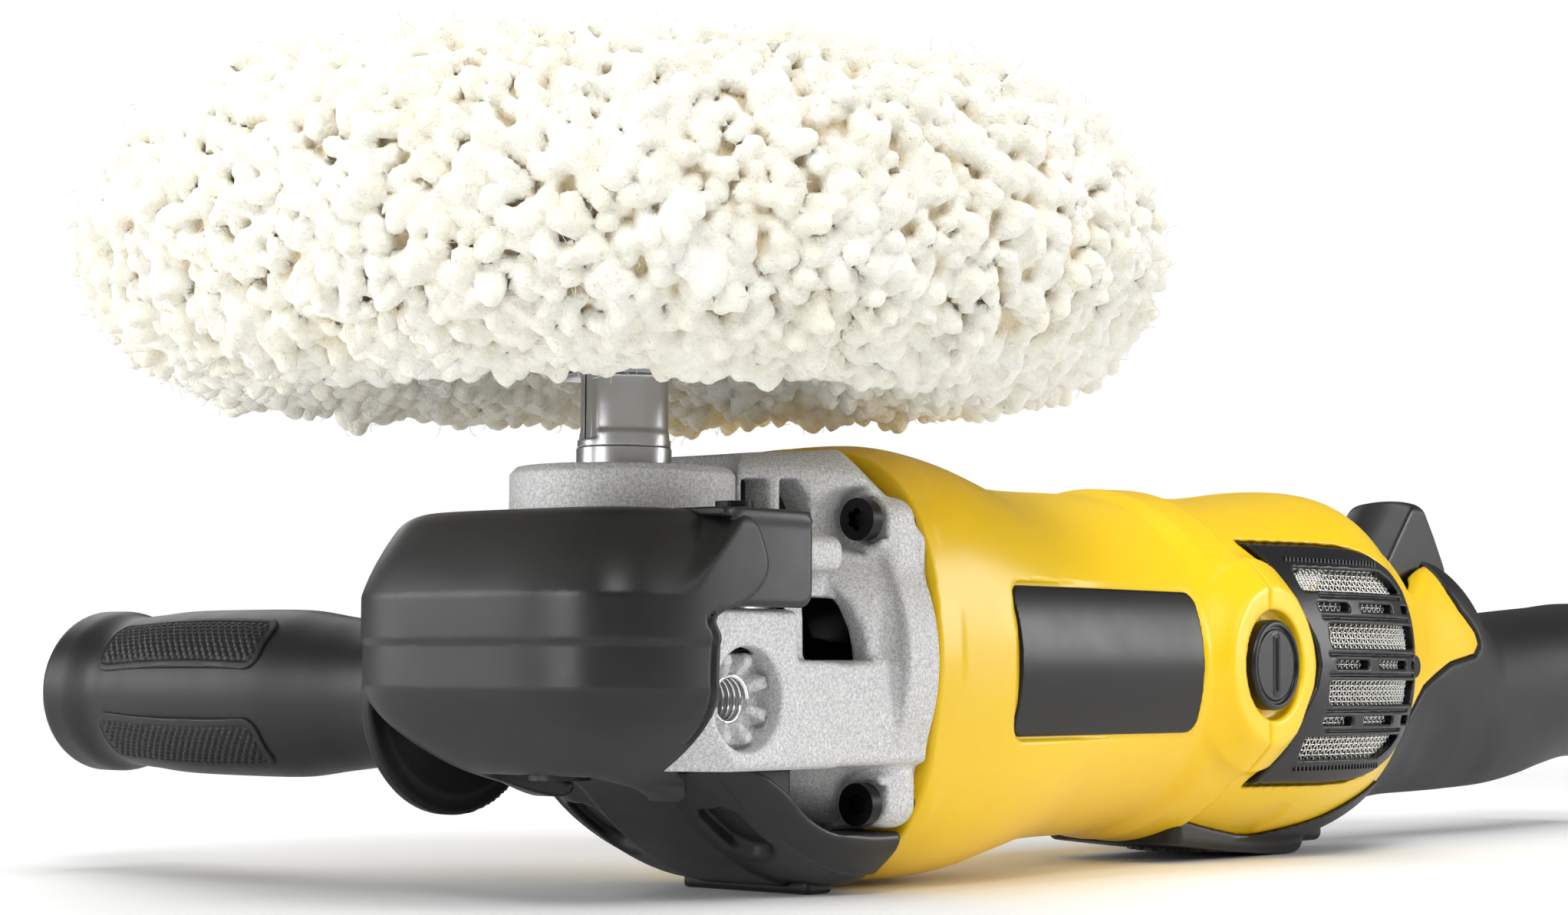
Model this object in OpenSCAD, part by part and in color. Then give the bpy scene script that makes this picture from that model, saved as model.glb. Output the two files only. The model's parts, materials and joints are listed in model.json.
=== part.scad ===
/* [Wool pad] */
// Overall diameter of the wool pad
pad_d = 208; // [200:1:212]
// Height of the pad's widest plane above the motor axis
pad_mid_z = 77; // [76:0.5:79]
// Thickness of the pad over its pile
pad_t = 61; // [57:0.5:62]
// Diameter of the washers that clamp the pad
washer_d = 42; // [38:1:48]

/* [Gears] */
// Module of the bevel gears at their outer ends
gear_m = 1.2; // [1.1:0.02:1.2]

/* [Gear case] */
// Half width of the gear case over its side faces
case_half_w = 36; // [35.6:0.1:36.4]
// Radius of the round nose around the spindle
nose_r = 22; // [21.5:0.1:22.5]
// Height of the nose's face above the motor axis
nose_z = 36.8; // [36.4:0.1:37.2]
// Radius of the holes tapped for the side handle
port_r = 4.25; // [4.2:0.05:4.3]
// Depth of the tapped holes
port_depth = 12; // [10:0.5:12]

/* [Motor] */
// Radius of the motor housing
motor_r = 39; // [38.6:0.1:39.4]
// Wall of the motor housing and the handle shells
wall = 3; // [2.6:0.1:3.2]
// Distance from the spindle to the brush caps
brush_x = 173; // [172:0.5:174]

/* [Handles] */
// Distance from the spindle to the rear end of the handle
tail_x = 427; // [420:1:432]
// Distance from the spindle to the end of the side handle
side_end_y = 153.3; // [150:0.1:156]
// Radius of the side handle's flange
flange_r = 23.7; // [22.5:0.1:24.5]
// How far the trigger travels
trigger_travel = 7; // [5:0.5:8]

/* [Rest] */
// Height of the motor axis above the surface the tool lies on
rest_h = 46; // [46:0.5:47]

/* [Hidden] */
$fn = 64;
// Clearance between parts that fit into each other
fit = 0.05;
center_x = (tail_x - pad_d / 2) / 2;
center_y = (side_end_y - pad_d / 2) / 2;

port_x = -5;
port_z = -7.1;
flange_x = 50;
screw_y = 30.5;
screw_z = 27.7;
case_top = 27;
spindle_r = 7.5;
hub_z = 55;
washer_t = 2.4;
adapter_r = 8.7;

// Teeth on the armature's pinion and on the spindle's ring gear
pinion_teeth = 10;
ring_teeth = 50;
cone_r = gear_m * sqrt(pow(pinion_teeth, 2) + pow(ring_teeth, 2)) / 2;
pinion_cone = atan(pinion_teeth / ring_teeth);
ring_cone = 90 - pinion_cone;
gear_face = 8.5;
// One module's length along the outer cone, in degrees seen from the apex
cone_step = gear_m / cone_r * 180 / PI;

trigger_dir = [0.333, 0, -0.943];
trigger_half_w = 13.6;
lock_pin_x = -17;
lock_button_r = 6;
lock_on_at = [296, 6];
handle_screws_at = [[262, -20], [262, 22], [322, 10], [386, 8]];
dial_x = 203;
dial_r = 15;

// Sections of the rear body: distance, half width, top, bottom
body_rows = [
  [158, 40.2, 40.0, -42.0],
  [172, 41.6, 42.2, -43.4],
  [190, 42.2, 43.8, -44.6],
  [210, 41.6, 44.8, -44.6],
  [228, 39.6, 45.0, -43.2],
  [243, 35.8, 44.6, -40.6],
  [254, 31.0, 43.4, -37.6],
  [263, 26.2, 41.6, -35.0],
  [275, 22.6, 39.4, -32.8],
  [300, 21.0, 33.0, -31.0],
  [318, 20.6, 30.0, -29.6],
  [330, 20.3, 26.0, -28.4],
  [342, 20.0, 20.6, -27.4],
  [360, 19.8, 18.4, -26.6],
  [395, 20.3, 18.7, -26.3],
  [418, 21.2, 19.4, -26.8],
  [427, 20.0, 18.2, -25.6]
];
SIDES = 28;
SQUARE = 2.5;

// ---- helpers ----

// Moves the design axes to the middle of the footprint, on the rest plane
module place() {
  translate([-center_x, -center_y, rest_h]) children();
}

module tube(r_out, r_in, z0, z1) {
  translate([0, 0, z0]) difference() {
    cylinder(r = r_out, h = z1 - z0);
    translate([0, 0, -1]) cylinder(r = r_in, h = z1 - z0 + 2);
  }
}

// A cylinder between two heights
module rod(r, z0, z1) {
  translate([0, 0, z0]) cylinder(r = r, h = z1 - z0);
}

// Turns +Z into +X
module along_x() {
  rotate([0, 90, 0]) children();
}

// Turns +Z into +Y
module along_y() {
  rotate([-90, 0, 0]) children();
}

module mirror_copy(v) {
  children();
  mirror(v) children();
}

module box(lo, hi) {
  translate(lo) cube(hi - lo);
}

// A rectangle with round corners, as true arcs
module round_rect(x0, x1, y0, y1, r) {
  translate([x0 + r, y0]) square([x1 - x0 - 2 * r, y1 - y0]);
  translate([x0, y0 + r]) square([x1 - x0, y1 - y0 - 2 * r]);
  for (x = [x0 + r, x1 - r], y = [y0 + r, y1 - r]) translate([x, y]) circle(r);
}

module six_lobe_socket(r, depth) {
  for (a = [0 : 60 : 300]) rotate(a) translate([r * 0.62, 0, 0]) cylinder(r = r * 0.3, h = depth, $fn = 16);
  cylinder(r = r * 0.68, h = depth, $fn = 24);
}

// A pan head screw whose head stands at z = 0 and points to +Z
module screw(head_r, head_h, shank_r, length) {
  difference() {
    union() {
      cylinder(r = head_r, h = head_h, $fn = 32);
      rotate([180, 0, 0]) cylinder(r = shank_r, h = length, $fn = 24);
    }
    translate([0, 0, head_h * 0.35]) six_lobe_socket(head_r * 0.6, head_h);
  }
}

function side_pow(v, p) = (v < 0 ? -1 : 1) * pow(abs(v), p);
function inset_rows(rows, d) = [for (r = rows) [r[0], r[1] - d, r[2] - d, r[3] + d]];
function moved_row(r, d) = [r[0] + d, r[1], r[2], r[3]];
function body_ring(r) = [for (i = [0 : SIDES - 1])
  let (a = 360 * i / SIDES, mid = (r[2] + r[3]) / 2, half = (r[2] - r[3]) / 2)
  [r[0], r[1] * side_pow(cos(a), 2 / SQUARE), mid + half * side_pow(sin(a), 2 / SQUARE)]];

// A closed solid through the body's sections
module loft(rows) {
  n = len(rows);
  pts = [for (r = rows) each body_ring(r)];
  skin = [for (k = [0 : n - 2], i = [0 : SIDES - 1])
    let (j = (i + 1) % SIDES, a = k * SIDES)
    each [[a + i, a + SIDES + i, a + SIDES + j], [a + i, a + SIDES + j, a + j]]];
  front = [for (i = [0 : SIDES - 1]) i];
  back = [for (i = [0 : SIDES - 1]) n * SIDES - 1 - i];
  polyhedron(points = pts, faces = concat(skin, [front], [back]), convexity = 6);
}

function body_row(x, k) = lookup(x, [for (r = body_rows) [r[0], r[k]]]);
function body_half_w(x) = body_row(x, 1);

// Half width of the body's surface at a distance and a height
function side_y(x, z) =
  let (mid = (body_row(x, 2) + body_row(x, 3)) / 2, half = (body_row(x, 2) - body_row(x, 3)) / 2)
  body_half_w(x) * pow(1 - pow(abs(z - mid) / half, SQUARE), 1 / SQUARE);

// A coil spring from z = 0 upwards
module coil(r, wire, height, turns) {
  steps = turns * 14;
  sides = 6;
  ring_pts = [for (k = [0 : steps], i = [0 : sides - 1])
    let (a = 360 * turns * k / steps, b = 360 * i / sides, d = r + wire * cos(b))
    [d * cos(a), d * sin(a), wire + (height - 2 * wire) * k / steps + wire * sin(b)]];
  skin = [for (k = [0 : steps - 1], i = [0 : sides - 1])
    let (j = (i + 1) % sides, a = k * sides) [a + i, a + sides + i, a + sides + j, a + j]];
  polyhedron(points = ring_pts,
    faces = concat(skin, [[for (i = [0 : sides - 1]) i]],
      [[for (i = [0 : sides - 1]) steps * sides + sides - 1 - i]]), convexity = 10);
}

// ---- gear case and nose ----

module gear_case_outline(grow) {
  round_rect(-39.5 - grow, 30, -case_half_w - grow, case_half_w + grow, 16 + grow);
  translate([0, -case_half_w - grow]) square([flange_x, 2 * (case_half_w + grow)]);
}

module flange_outline() {
  round_rect(-34.5, 34.5, -32.5, 32.5, 7);
  circle(38.4);
}

module gear_case() {
  color([0.72, 0.72, 0.72]) place() difference() {
    union() {
      translate([0, 0, -20]) linear_extrude(case_top + 20) gear_case_outline(0);
      rod(nose_r, case_top - 1, case_top + 1.2);
      translate([flange_x - 30, 0, 0]) along_x() linear_extrude(30) rotate(90) round_rect(-36, 36, -33, 33, 10);
      translate([flange_x - 12, 0, 0]) along_x() linear_extrude(12) rotate(90) flange_outline();
      box([17, -17, 26], [flange_x, 17, 41.5]);
    }
    rod(33, 1.5, 15.2);
    rod(12.5, -9, 2);
    rod(17.55, 15, case_top + 3);
    rod(10.05, -17, -8);
    along_x() rod(9.5, 0, 35);
    along_x() rod(13.05, 34, 44);
    along_x() rod(34.5, 43.9, flange_x + 1);
    rod(nose_r + 0.1, case_top, 50);
    translate([lock_pin_x, 0, 0]) rod(2.8, -21, 3);
    translate([lock_pin_x, 0, 0]) rod(lock_button_r + 0.4, -21, -12);
    mirror_copy([0, 1, 0]) {
      translate([port_x, -case_half_w, port_z]) along_y() {
        rod(port_r, -1, 1.5 + port_depth);
        tube(12.8, 8.6, -1, 3);
        rod(8.6, -1, 1.5);
      }
      box([14, -case_half_w - 1, -1], [32, -case_half_w + 5, 17]);
    }
    for (y = [-screw_y, screw_y], z = [-screw_z, screw_z]) translate([30, y, z]) along_x() {
      rod(2.2, 0, 30);
      rod(4.6, -12, 7);
    }
    for (a = [45 : 90 : 315]) rotate(a) translate([19.8, 0, 0]) rod(1.25, case_top - 8, case_top + 2);
  }
}

module nose_plate() {
  color([0.7, 0.7, 0.7]) place() difference() {
    union() {
      rod(nose_r, case_top, nose_z - 1.8);
      translate([0, 0, nose_z - 1.8]) cylinder(r1 = nose_r, r2 = nose_r - 1.8, h = 1.8);
    }
    rod(spindle_r + 1.2, case_top - 1, nose_z + 1);
    for (a = [45 : 90 : 315]) rotate(a) translate([16.6, 0, 0]) {
      rod(1.6, case_top - 1, nose_z + 1);
      rod(3.1, nose_z - 3, nose_z + 1);
    }
  }
}

module nose_plate_screws() {
  color([0.3, 0.3, 0.32]) place()
    for (a = [45 : 90 : 315]) rotate(a) translate([16.6, 0, nose_z - 3]) screw(2.9, 2, 1.5, 6.5);
}

module spindle_bearing() {
  color([0.65, 0.66, 0.68]) place() tube(17.5, spindle_r + fit, 15.6, 26.6);
}

module spindle_tail_bearing() {
  color([0.65, 0.66, 0.68]) place() tube(10, 5 + fit, -16.5, -9.5);
}

// ---- black rubber boot over the gear case ----

module cover_block(z0, z1, x_back) {
  intersection() {
    translate([0, 0, z0]) linear_extrude(z1 - z0) gear_case_outline(3.4);
    box([-60, -60, z0], [x_back, 60, z1]);
  }
}

module gear_case_cover() {
  color([0.08, 0.08, 0.09]) place() difference() {
    union() {
      cover_block(-23.5, 12, -15.5);
      cover_block(4, 27.6, -2);
    }
    translate([0, 0, -20]) linear_extrude(60) gear_case_outline(0.9);
    translate([lock_pin_x, 0, 0]) rod(lock_button_r + 1, -30, -10);
    rod(nose_r + 0.6, 20, 30);
  }
}

module cover_liner() {
  color([0.07, 0.07, 0.08]) place() intersection() {
    difference() {
      translate([0, 0, 13]) linear_extrude(12) gear_case_outline(2.4);
      translate([0, 0, -20]) linear_extrude(60) gear_case_outline(0.05);
    }
    union() {
      box([-1.9, -60, 13], [10.5, -30, 25]);
      box([-1.9, 30, 13], [10.5, 60, 25]);
    }
  }
}

module cover_screws() {
  color([0.1, 0.1, 0.1]) place() mirror_copy([0, 1, 0])
    translate([-3.2, -31, case_top]) cylinder(r = 3.6, h = 2.4, $fn = 32);
}

// ---- hand rest under the gear case and the foot it stands on ----

module hand_rest() {
  color([0.07, 0.07, 0.08]) place() difference() {
    hull() {
      for (y = [-24, 24]) {
        translate([-2, y, -20.2]) cube([48, 0.1, 0.1]);
        translate([6, y, -29]) sphere(r = 3, $fn = 16);
        translate([20, y, -36]) sphere(r = 4, $fn = 16);
        translate([40, y, -39]) sphere(r = 4.5, $fn = 16);
        translate([46, y, -34]) sphere(r = 3, $fn = 16);
      }
      translate([46, -32, -30]) cube([2, 64, 4]);
      translate([2, -30, -24.5]) cube([20, 60, 1]);
      translate([24, -28, -36]) cube([20, 56, 1]);
    }
    box([-10, -40, -20.05], [60, 40, 0]);
    box([19.9, -40, -33.05], [60, 40, 0]);
    along_x() rod(38.5, flange_x - 12.1, 60);
    foot_block();
  }
}

module foot_block() {
  box([22, -24, -rest_h], [42, 24, -40.2]);
}

module rest_foot() {
  color([0.05, 0.05, 0.05]) place() foot_block();
}

module gear_case_screws() {
  color([0.06, 0.06, 0.06]) place()
    for (y = [-screw_y, screw_y], z = [-screw_z, screw_z])
      translate([36.9, y, z]) rotate([0, -90, 0]) screw(4.2, 3, 2, 17);
}

// ---- motor ----

module motor_housing() {
  color([0.95, 0.76, 0.08]) place() difference() {
    union() {
      along_x() rod(motor_r, flange_x, 158);
      translate([flange_x, 0, 0]) along_x() linear_extrude(9) rotate(90) flange_outline();
      along_x() rod(36.5, 157, 160);
      along_x() rod(34, 159, 186);
      along_x() rod(13, 185, 200);
    }
    along_x() rod(motor_r - wall, flange_x - 1, 157);
    along_x() rod(30.5, 156, 184);
    along_x() rod(9.55, 187, 201);
    along_x() rod(6.5, 180, 190);
    mirror_copy([0, 1, 0]) translate([brush_x, -20, 0]) along_y() rod(7.1, -20, 0);
    for (y = [-screw_y, screw_y], z = [-screw_z, screw_z])
      translate([flange_x - 1, y, z]) along_x() rod(2.05, 0, 9);
    for (a = [0 : 45 : 315]) along_x() rotate(a + 22.5) translate([22, 0, 0]) rod(4, 180, 190);
  }
}

module front_bearing() {
  color([0.65, 0.66, 0.68]) place() along_x() tube(13, 5 + fit, 35, 43);
}

module rear_bearing() {
  color([0.65, 0.66, 0.68]) place() along_x() tube(9.5, 4 + fit, 190, 198);
}

module stator_core() {
  color([0.42, 0.43, 0.45]) place() along_x() difference() {
    rod(motor_r - wall - fit, 90, 138);
    rod(24, 89, 139);
    for (a = [0, 180]) rotate(a) translate([26, 0, 0]) linear_extrude(400, center = true) {
      translate([0, -13]) square([5, 26]);
    }
  }
}

module field_coils() {
  color([0.7, 0.38, 0.16]) place() along_x() for (a = [0, 180]) rotate(a) difference() {
    translate([26.1, -12.8, 82]) cube([4.8, 25.6, 64]);
    translate([20, -6, 89.9]) cube([20, 12, 48.2]);
  }
}

module fan_baffle() {
  color([0.12, 0.12, 0.13]) place() along_x() tube(motor_r - wall - fit, 29, 73, 75);
}

// ---- brush gear ----

module brush_holders() {
  color([0.78, 0.62, 0.3]) place() mirror_copy([0, 1, 0]) translate([brush_x, -38.5, 0]) along_y() {
    difference() {
      rod(7, 0, 20);
      translate([-3.3, -4.3, -1]) cube([6.6, 8.6, 22]);
    }
  }
}

module carbon_brushes() {
  color([0.15, 0.15, 0.16]) place() mirror_copy([0, 1, 0])
    box([brush_x - 3.2, -32, -4.2], [brush_x + 3.2, -14.5, 4.2]);
}

module brush_springs() {
  color([0.6, 0.6, 0.62]) place() mirror_copy([0, 1, 0])
    translate([brush_x, -38.4, 0]) along_y() coil(2.4, 0.35, 6.3, 4);
}

module brush_caps() {
  color([0.06, 0.06, 0.06]) place() mirror_copy([0, 1, 0])
    translate([brush_x, -42.8, 0]) along_y() difference() {
      rod(10.3, 0, 4.2);
      translate([-0.9, -6.5, -1]) cube([1.8, 13, 2.6]);
    }
}

// ---- handle ----

module body_cuts() {
  // trigger slot
  box([274, -trigger_half_w - 0.8, 18], [315.5, trigger_half_w + 0.8, 60]);
  // cord outlet
  translate([400, 0, -3.8]) along_x() rod(9.1, 0, 60);
  // brush caps and air intakes
  mirror_copy([0, 1, 0]) {
    translate([brush_x, -30, 0]) along_y() rod(10.8, -20, 0);
    box([185.8, -60, -23], [250.2, -20, 23]);
  }
  // lock-on button
  translate([lock_on_at[0], 0, lock_on_at[1]]) along_y() rod(5.4, 10, 40);
  // dial
  translate([dial_x, 0, 0]) rod(dial_r + 0.6, -60, -36);
}

module handle_body() {
  grip_rows = [for (r = body_rows) r[0] < 320 ? r : [r[0], r[1] - 2.1, r[2] - 2.1, r[3] + 2.1]];
  inner = [for (r = inset_rows(grip_rows, wall)) [r[0] == 158 ? 150 : (r[0] == tail_x ? tail_x - wall : r[0]),
    r[1], r[2], r[3]]];
  difference() {
    union() {
      difference() {
        loft(grip_rows);
        loft(inner);
        body_cuts();
        along_x() rod(36.6, 150, 165);
      }
      for (p = handle_screws_at) translate([p[0], 0, p[1]]) along_y() {
        end = side_y(p[0], p[1]) - (p[0] < 330 ? 4 : 5.6);
        rod(4.5, -end, end);
      }
    }
    handle_screw_holes();
  }
}

module handle_screw_holes() {
  for (p = handle_screws_at) translate([p[0], 0, p[1]]) along_y() {
    rod(1.5, -6, 30);
    rod(3.3, side_y(p[0], p[1]) - 4.5, 40);
  }
}

module handle_shell_left() {
  color([0.95, 0.76, 0.08]) place() intersection() {
    handle_body();
    box([100, 0, -80], [500, 80, 80]);
  }
}

module handle_shell_right() {
  color([0.95, 0.76, 0.08]) place() intersection() {
    handle_body();
    box([100, -80, -80], [500, 0, 80]);
  }
}

module handle_grip() {
  rows = [for (r = body_rows) if (r[0] >= 330) r];
  bore = inset_rows(rows, 2);
  color([0.07, 0.07, 0.07]) place() difference() {
    loft(rows);
    loft(concat([moved_row(bore[0], -5)], bore, [moved_row(bore[len(bore) - 1], 5)]));
    handle_screw_holes();
  }
}

module handle_screws() {
  color([0.12, 0.12, 0.12]) place()
    for (p = handle_screws_at)
      translate([p[0], side_y(p[0], p[1]) - 4.5, p[1]]) along_y() screw(3, 2, 1.4, 12);
}

// The plan of an intake panel, following the side of the body
module side_band(x0, x1, out, t) {
  n = 16;
  xs = [for (i = [0 : n]) x0 + (x1 - x0) * i / n];
  polygon(concat([for (x = xs) [x, -body_half_w(x) - out]],
    [for (i = [n : -1 : 0]) [xs[i], -body_half_w(xs[i]) - out + t]]));
}

module intake_grille() {
  difference() {
    translate([0, 0, -27]) linear_extrude(54) side_band(186, 250, 1.2, 3);
    for (z = [-19.5, -7, 7, 19.5]) box([193, -60, z - 3.6], [244, -20, z + 3.6]);
  }
}

module intake_grille_right() {
  color([0.07, 0.07, 0.07]) place() intake_grille();
}

module intake_grille_left() {
  color([0.07, 0.07, 0.07]) place() mirror([0, 1, 0]) intake_grille();
}

module intake_mesh() {
  translate([0, 0, -22.5]) linear_extrude(45) side_band(189, 247, -1.9, 0.8);
}

module intake_mesh_right() {
  color([0.75, 0.75, 0.74]) place() intake_mesh();
}

module intake_mesh_left() {
  color([0.75, 0.75, 0.74]) place() mirror([0, 1, 0]) intake_mesh();
}

module grille_screws() {
  color([0.06, 0.06, 0.06]) place() mirror_copy([0, 1, 0])
    translate([253.6, -body_half_w(250.8) - 0.1, 0]) rotate([90, 0, 0]) cylinder(r = 2.8, h = 2.4, $fn = 32);
}

module name_plates() {
  color([0.05, 0.05, 0.05]) place() mirror_copy([0, 1, 0]) intersection() {
    along_x() tube(motor_r + 0.45, motor_r + 0.02, 77, 148);
    box([77, -60, -15.8], [148, 0, 17]);
  }
}

module rear_bumper() {
  color([0.06, 0.06, 0.06]) place() difference() {
    box([168, -22, -rest_h], [246, 22, -41.5]);
    loft(inset_rows(body_rows, -0.02));
    translate([dial_x, 0, 0]) rod(dial_r + 0.6, -60, -36);
  }
}

module switch_module() {
  color([0.16, 0.16, 0.17]) place() difference() {
    box([276, -10.5, -20], [326, 10.5, 1]);
    box([289, -5, -6], [304, 5, 2]);
  }
}

module speed_module() {
  color([0.1, 0.3, 0.16]) place() {
    box([212, -14, -30], [246, 14, -24]);
    translate([dial_x, 0, 0]) rod(6, -34, -27);
    box([dial_x, -5, -30], [212.5, 5, -27]);
  }
}

module cord_gland() {
  color([0.05, 0.05, 0.05]) place() translate([0, 0, -3.8]) along_x() difference() {
    union() {
      rod(9, tail_x - 8, tail_x);
      rod(11.5, tail_x - 12, tail_x - 6);
    }
    rod(4.6, tail_x - 20, tail_x + 5);
  }
}

module cord_clamp() {
  color([0.2, 0.2, 0.21]) place() translate([tail_x - 22, 0, -3.8]) difference() {
    box([-4, -12, -4], [4, 12, 8.6]);
    along_x() rod(4.6, -10, 10);
  }
}

// ---- side handle ----

module side_handle_stud() {
  color([0.6, 0.6, 0.62]) place() translate([port_x, 0, port_z]) along_y()
    rod(port_r - fit, case_half_w - port_depth, 66);
}

module side_handle_grip() {
  color([0.07, 0.07, 0.07]) place() translate([port_x, 0, port_z]) along_y() difference() {
    rotate_extrude() polygon([
      [0, case_half_w - 1.2], [8.3, case_half_w - 1.2], [8.3, 39.7], [flange_r, 39.7], [flange_r, 42.8],
      [19, 45], [15.5, 50], [14.5, 58], [15.6, 71], [17.5, 84], [18.2, 100], [17.6, 120], [16.2, 136],
      [16.8, 143], [19.3, side_end_y - 4], [19.3, side_end_y - 2.4], [0, side_end_y - 2.4]]);
    rod(port_r + fit, 0, 66.5);
  }
}

module side_handle_panels() {
  color([0.1, 0.1, 0.1]) place() translate([port_x, 0, port_z]) along_y()
    for (a = [0, 90, 180, 270]) rotate(a + 45) intersection() {
      tube(19, 18.3, 84, 134);
      translate([15, -6.5, 84]) cube([10, 13, 50]);
    }
}

module side_handle_cap() {
  color([0.06, 0.06, 0.06]) place() translate([port_x, 0, port_z]) along_y()
    rod(16.5, side_end_y - 2.35, side_end_y);
}

// ---- bevel teeth ----

function on_cone(r, cone, turn) = r * [sin(cone) * cos(turn), sin(cone) * sin(turn), cos(cone)];

// One straight bevel tooth, whose root, pitch and tip lines all meet at the apex.
// Each level is the angle from the gear's axis and the tooth's half width in degrees of turn.
module bevel_tooth(levels) {
  pts = [for (e = [cone_r, cone_r - gear_face], s = [-1, 1], l = levels) on_cone(e, l[0], s * l[1])];
  polyhedron(points = pts, faces = [[3, 4, 5, 2, 1, 0], [7, 8, 11, 10, 9, 6],
    [7, 6, 0], [1, 7, 0], [8, 7, 1], [2, 8, 1], [11, 8, 2], [5, 11, 2],
    [10, 11, 5], [4, 10, 5], [9, 10, 4], [3, 9, 4], [6, 9, 3], [0, 6, 3]]);
}

// ---- armature, which turns about the motor axis ----

module armature_shaft() {
  color([0.62, 0.63, 0.65]) place() along_x() {
    rod(3, 20, 36);
    rod(5, 35, 189);
    rod(4, 188, 199);
  }
}

module armature_core() {
  color([0.4, 0.41, 0.43]) place() along_x() difference() {
    rod(23, 90, 138);
    rod(5 + fit, 89, 139);
    for (a = [0 : 30 : 330]) rotate(a) translate([21, -1, 89]) cube([4, 2, 50]);
  }
}

module armature_windings() {
  color([0.72, 0.4, 0.18]) place() along_x() {
    tube(19, 5 + fit, 79, 89.9);
    tube(19, 5 + fit, 138.1, 152);
  }
}

module commutator() {
  color([0.75, 0.45, 0.22]) place() along_x() difference() {
    tube(14, 5 + fit, 161, 182);
    for (a = [0 : 15 : 345]) rotate(a) translate([13.2, -0.25, 160]) cube([2, 0.5, 23]);
  }
}

module fan() {
  color([0.2, 0.2, 0.22]) place() along_x() {
    tube(33, 5 + fit, 58, 60);
    tube(11, 5 + fit, 58, 70);
    for (a = [0 : 24 : 336]) rotate(a) translate([10.5, -0.8, 59]) cube([22, 1.6, 10]);
  }
}

module pinion() {
  back = cone_r * cos(pinion_cone);
  pitch_r = gear_m * pinion_teeth / 2;
  color([0.5, 0.5, 0.53]) place() along_x() difference() {
    union() {
      translate([0, 0, back - gear_face]) cylinder(r1 = 0.6 * pitch_r, r2 = 0.83 * pitch_r, h = gear_face);
      rod(0.8 * pitch_r, back - 0.1, back + 1);
      rod(6.5, back + 0.5, 34.9);
      for (k = [0 : pinion_teeth - 1]) rotate(k * 360 / pinion_teeth)
        bevel_tooth([[pinion_cone - 1.15 * cone_step, 11], [pinion_cone, 7.2], [pinion_cone + 1.25 * cone_step, 2.2]]);
    }
    rod(3 + fit, back - 20, 40);
  }
}

// ---- spindle and pad, which turn about the spindle axis ----

module spindle() {
  color([0.66, 0.67, 0.69]) place() {
    rod(5, -16.3, -8.5);
    rod(spindle_r, -8.6, 37.4);
    rod(9.2, 37.4, 40.6);
    rod(7.4, 40.5, 94);
  }
}

module ring_gear() {
  root = tan(ring_cone - 1.65 * cone_step);
  inner = (cone_r - gear_face) * 0.93;
  color([0.5, 0.5, 0.53]) place() difference() {
    union() {
      rotate_extrude($fn = 100) polygon([[10, 13.2], [30.4, 13.2], [30.4, 30.4 / root],
        [inner, inner / root], [11, inner / root], [11, 2.4], [8, 2.4], [8, 13.2]]);
      for (k = [0 : ring_teeth - 1]) rotate((k + 0.5) * 360 / ring_teeth)
        bevel_tooth([[ring_cone - 2.2 * cone_step, 2.8], [ring_cone, 1.2], [ring_cone + 0.6 * cone_step, 0.7]]);
    }
    rod(spindle_r + fit, 0, 20);
    for (a = [0 : 30 : 330]) rotate(a) translate([-lock_pin_x, 0, 0]) rod(2.9, 0, 20);
  }
}

module pad_adapter() {
  color([0.7, 0.7, 0.7]) place() difference() {
    union() {
      rod(adapter_r, 40.6, hub_z);
      rod(washer_d / 2 - 4, hub_z, hub_z + 1.2);
      rod(adapter_r, hub_z, 86.5);
    }
    rod(7.4 + fit, 40, 100);
    mirror_copy([1, 0, 0]) box([7.4 + 0.6, -20, 44], [20, 20, 51]);
  }
}

module lower_pad_washer() {
  color([0.72, 0.72, 0.72]) place() tube(washer_d / 2, adapter_r + fit, hub_z + 1.2, hub_z + 1.2 + washer_t);
}

module pad_core() {
  color([0.55, 0.5, 0.42]) place() tube(84, adapter_r + fit, 74.5, 78.5);
}

module wool_pad() {
  r = pad_d / 2;
  h = pad_t / 2;
  hub = washer_d / 2;
  color([0.9, 0.86, 0.74]) place() translate([0, 0, pad_mid_z]) difference() {
    rotate_extrude($fn = 96) polygon([
      [adapter_r + fit, hub_z + 3.7 - pad_mid_z], [hub + 2, hub_z + 3.7 - pad_mid_z], [hub + 14, -h + 3],
      [hub + 26, -h], [r - 22, -h], [r - 8, -h + 8], [r - 1.5, -h + 19], [r, -1], [r, 1], [r - 1.5, h - 19],
      [r - 8, h - 8], [r - 22, h], [hub + 26, h], [hub + 14, h - 4], [hub + 2, 84 - pad_mid_z],
      [adapter_r + fit, 84 - pad_mid_z]]);
    translate([0, 0, -pad_mid_z]) tube(84.1, 1, 74.4, 78.6);
  }
}

module upper_pad_washer() {
  color([0.72, 0.72, 0.72]) place() tube(washer_d / 2, adapter_r + fit, 84.1, 84.1 + washer_t);
}

module pad_nut() {
  color([0.6, 0.6, 0.6]) place() difference() {
    translate([0, 0, 86.55]) cylinder(r = 14, h = 8, $fn = 6);
    rod(7.4 + fit, 80, 120);
  }
}

// ---- controls ----

module trigger() {
  color([0.07, 0.07, 0.07]) place() {
    difference() {
      translate([0, trigger_half_w, 0]) rotate([90, 0, 0]) linear_extrude(2 * trigger_half_w)
        polygon([[281, 12], [276, 30], [275, 40], [281, 44.6], [292, 46], [303.5, 45], [306.6, 42], [311.9, 27.3],
          [314.2, 20.5], [311, 12]]);
      box([285, -9, 0], [305, 9, 26]);
    }
    box([292, -4, 3], [299, 4, 27]);
  }
}

module lock_on_button() {
  color([0.06, 0.06, 0.06]) place() translate([lock_on_at[0], 0, lock_on_at[1]]) along_y() {
    rod(5, 17.3, 23);
    rod(6.4, 15.9, 17.4);
  }
}

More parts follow.
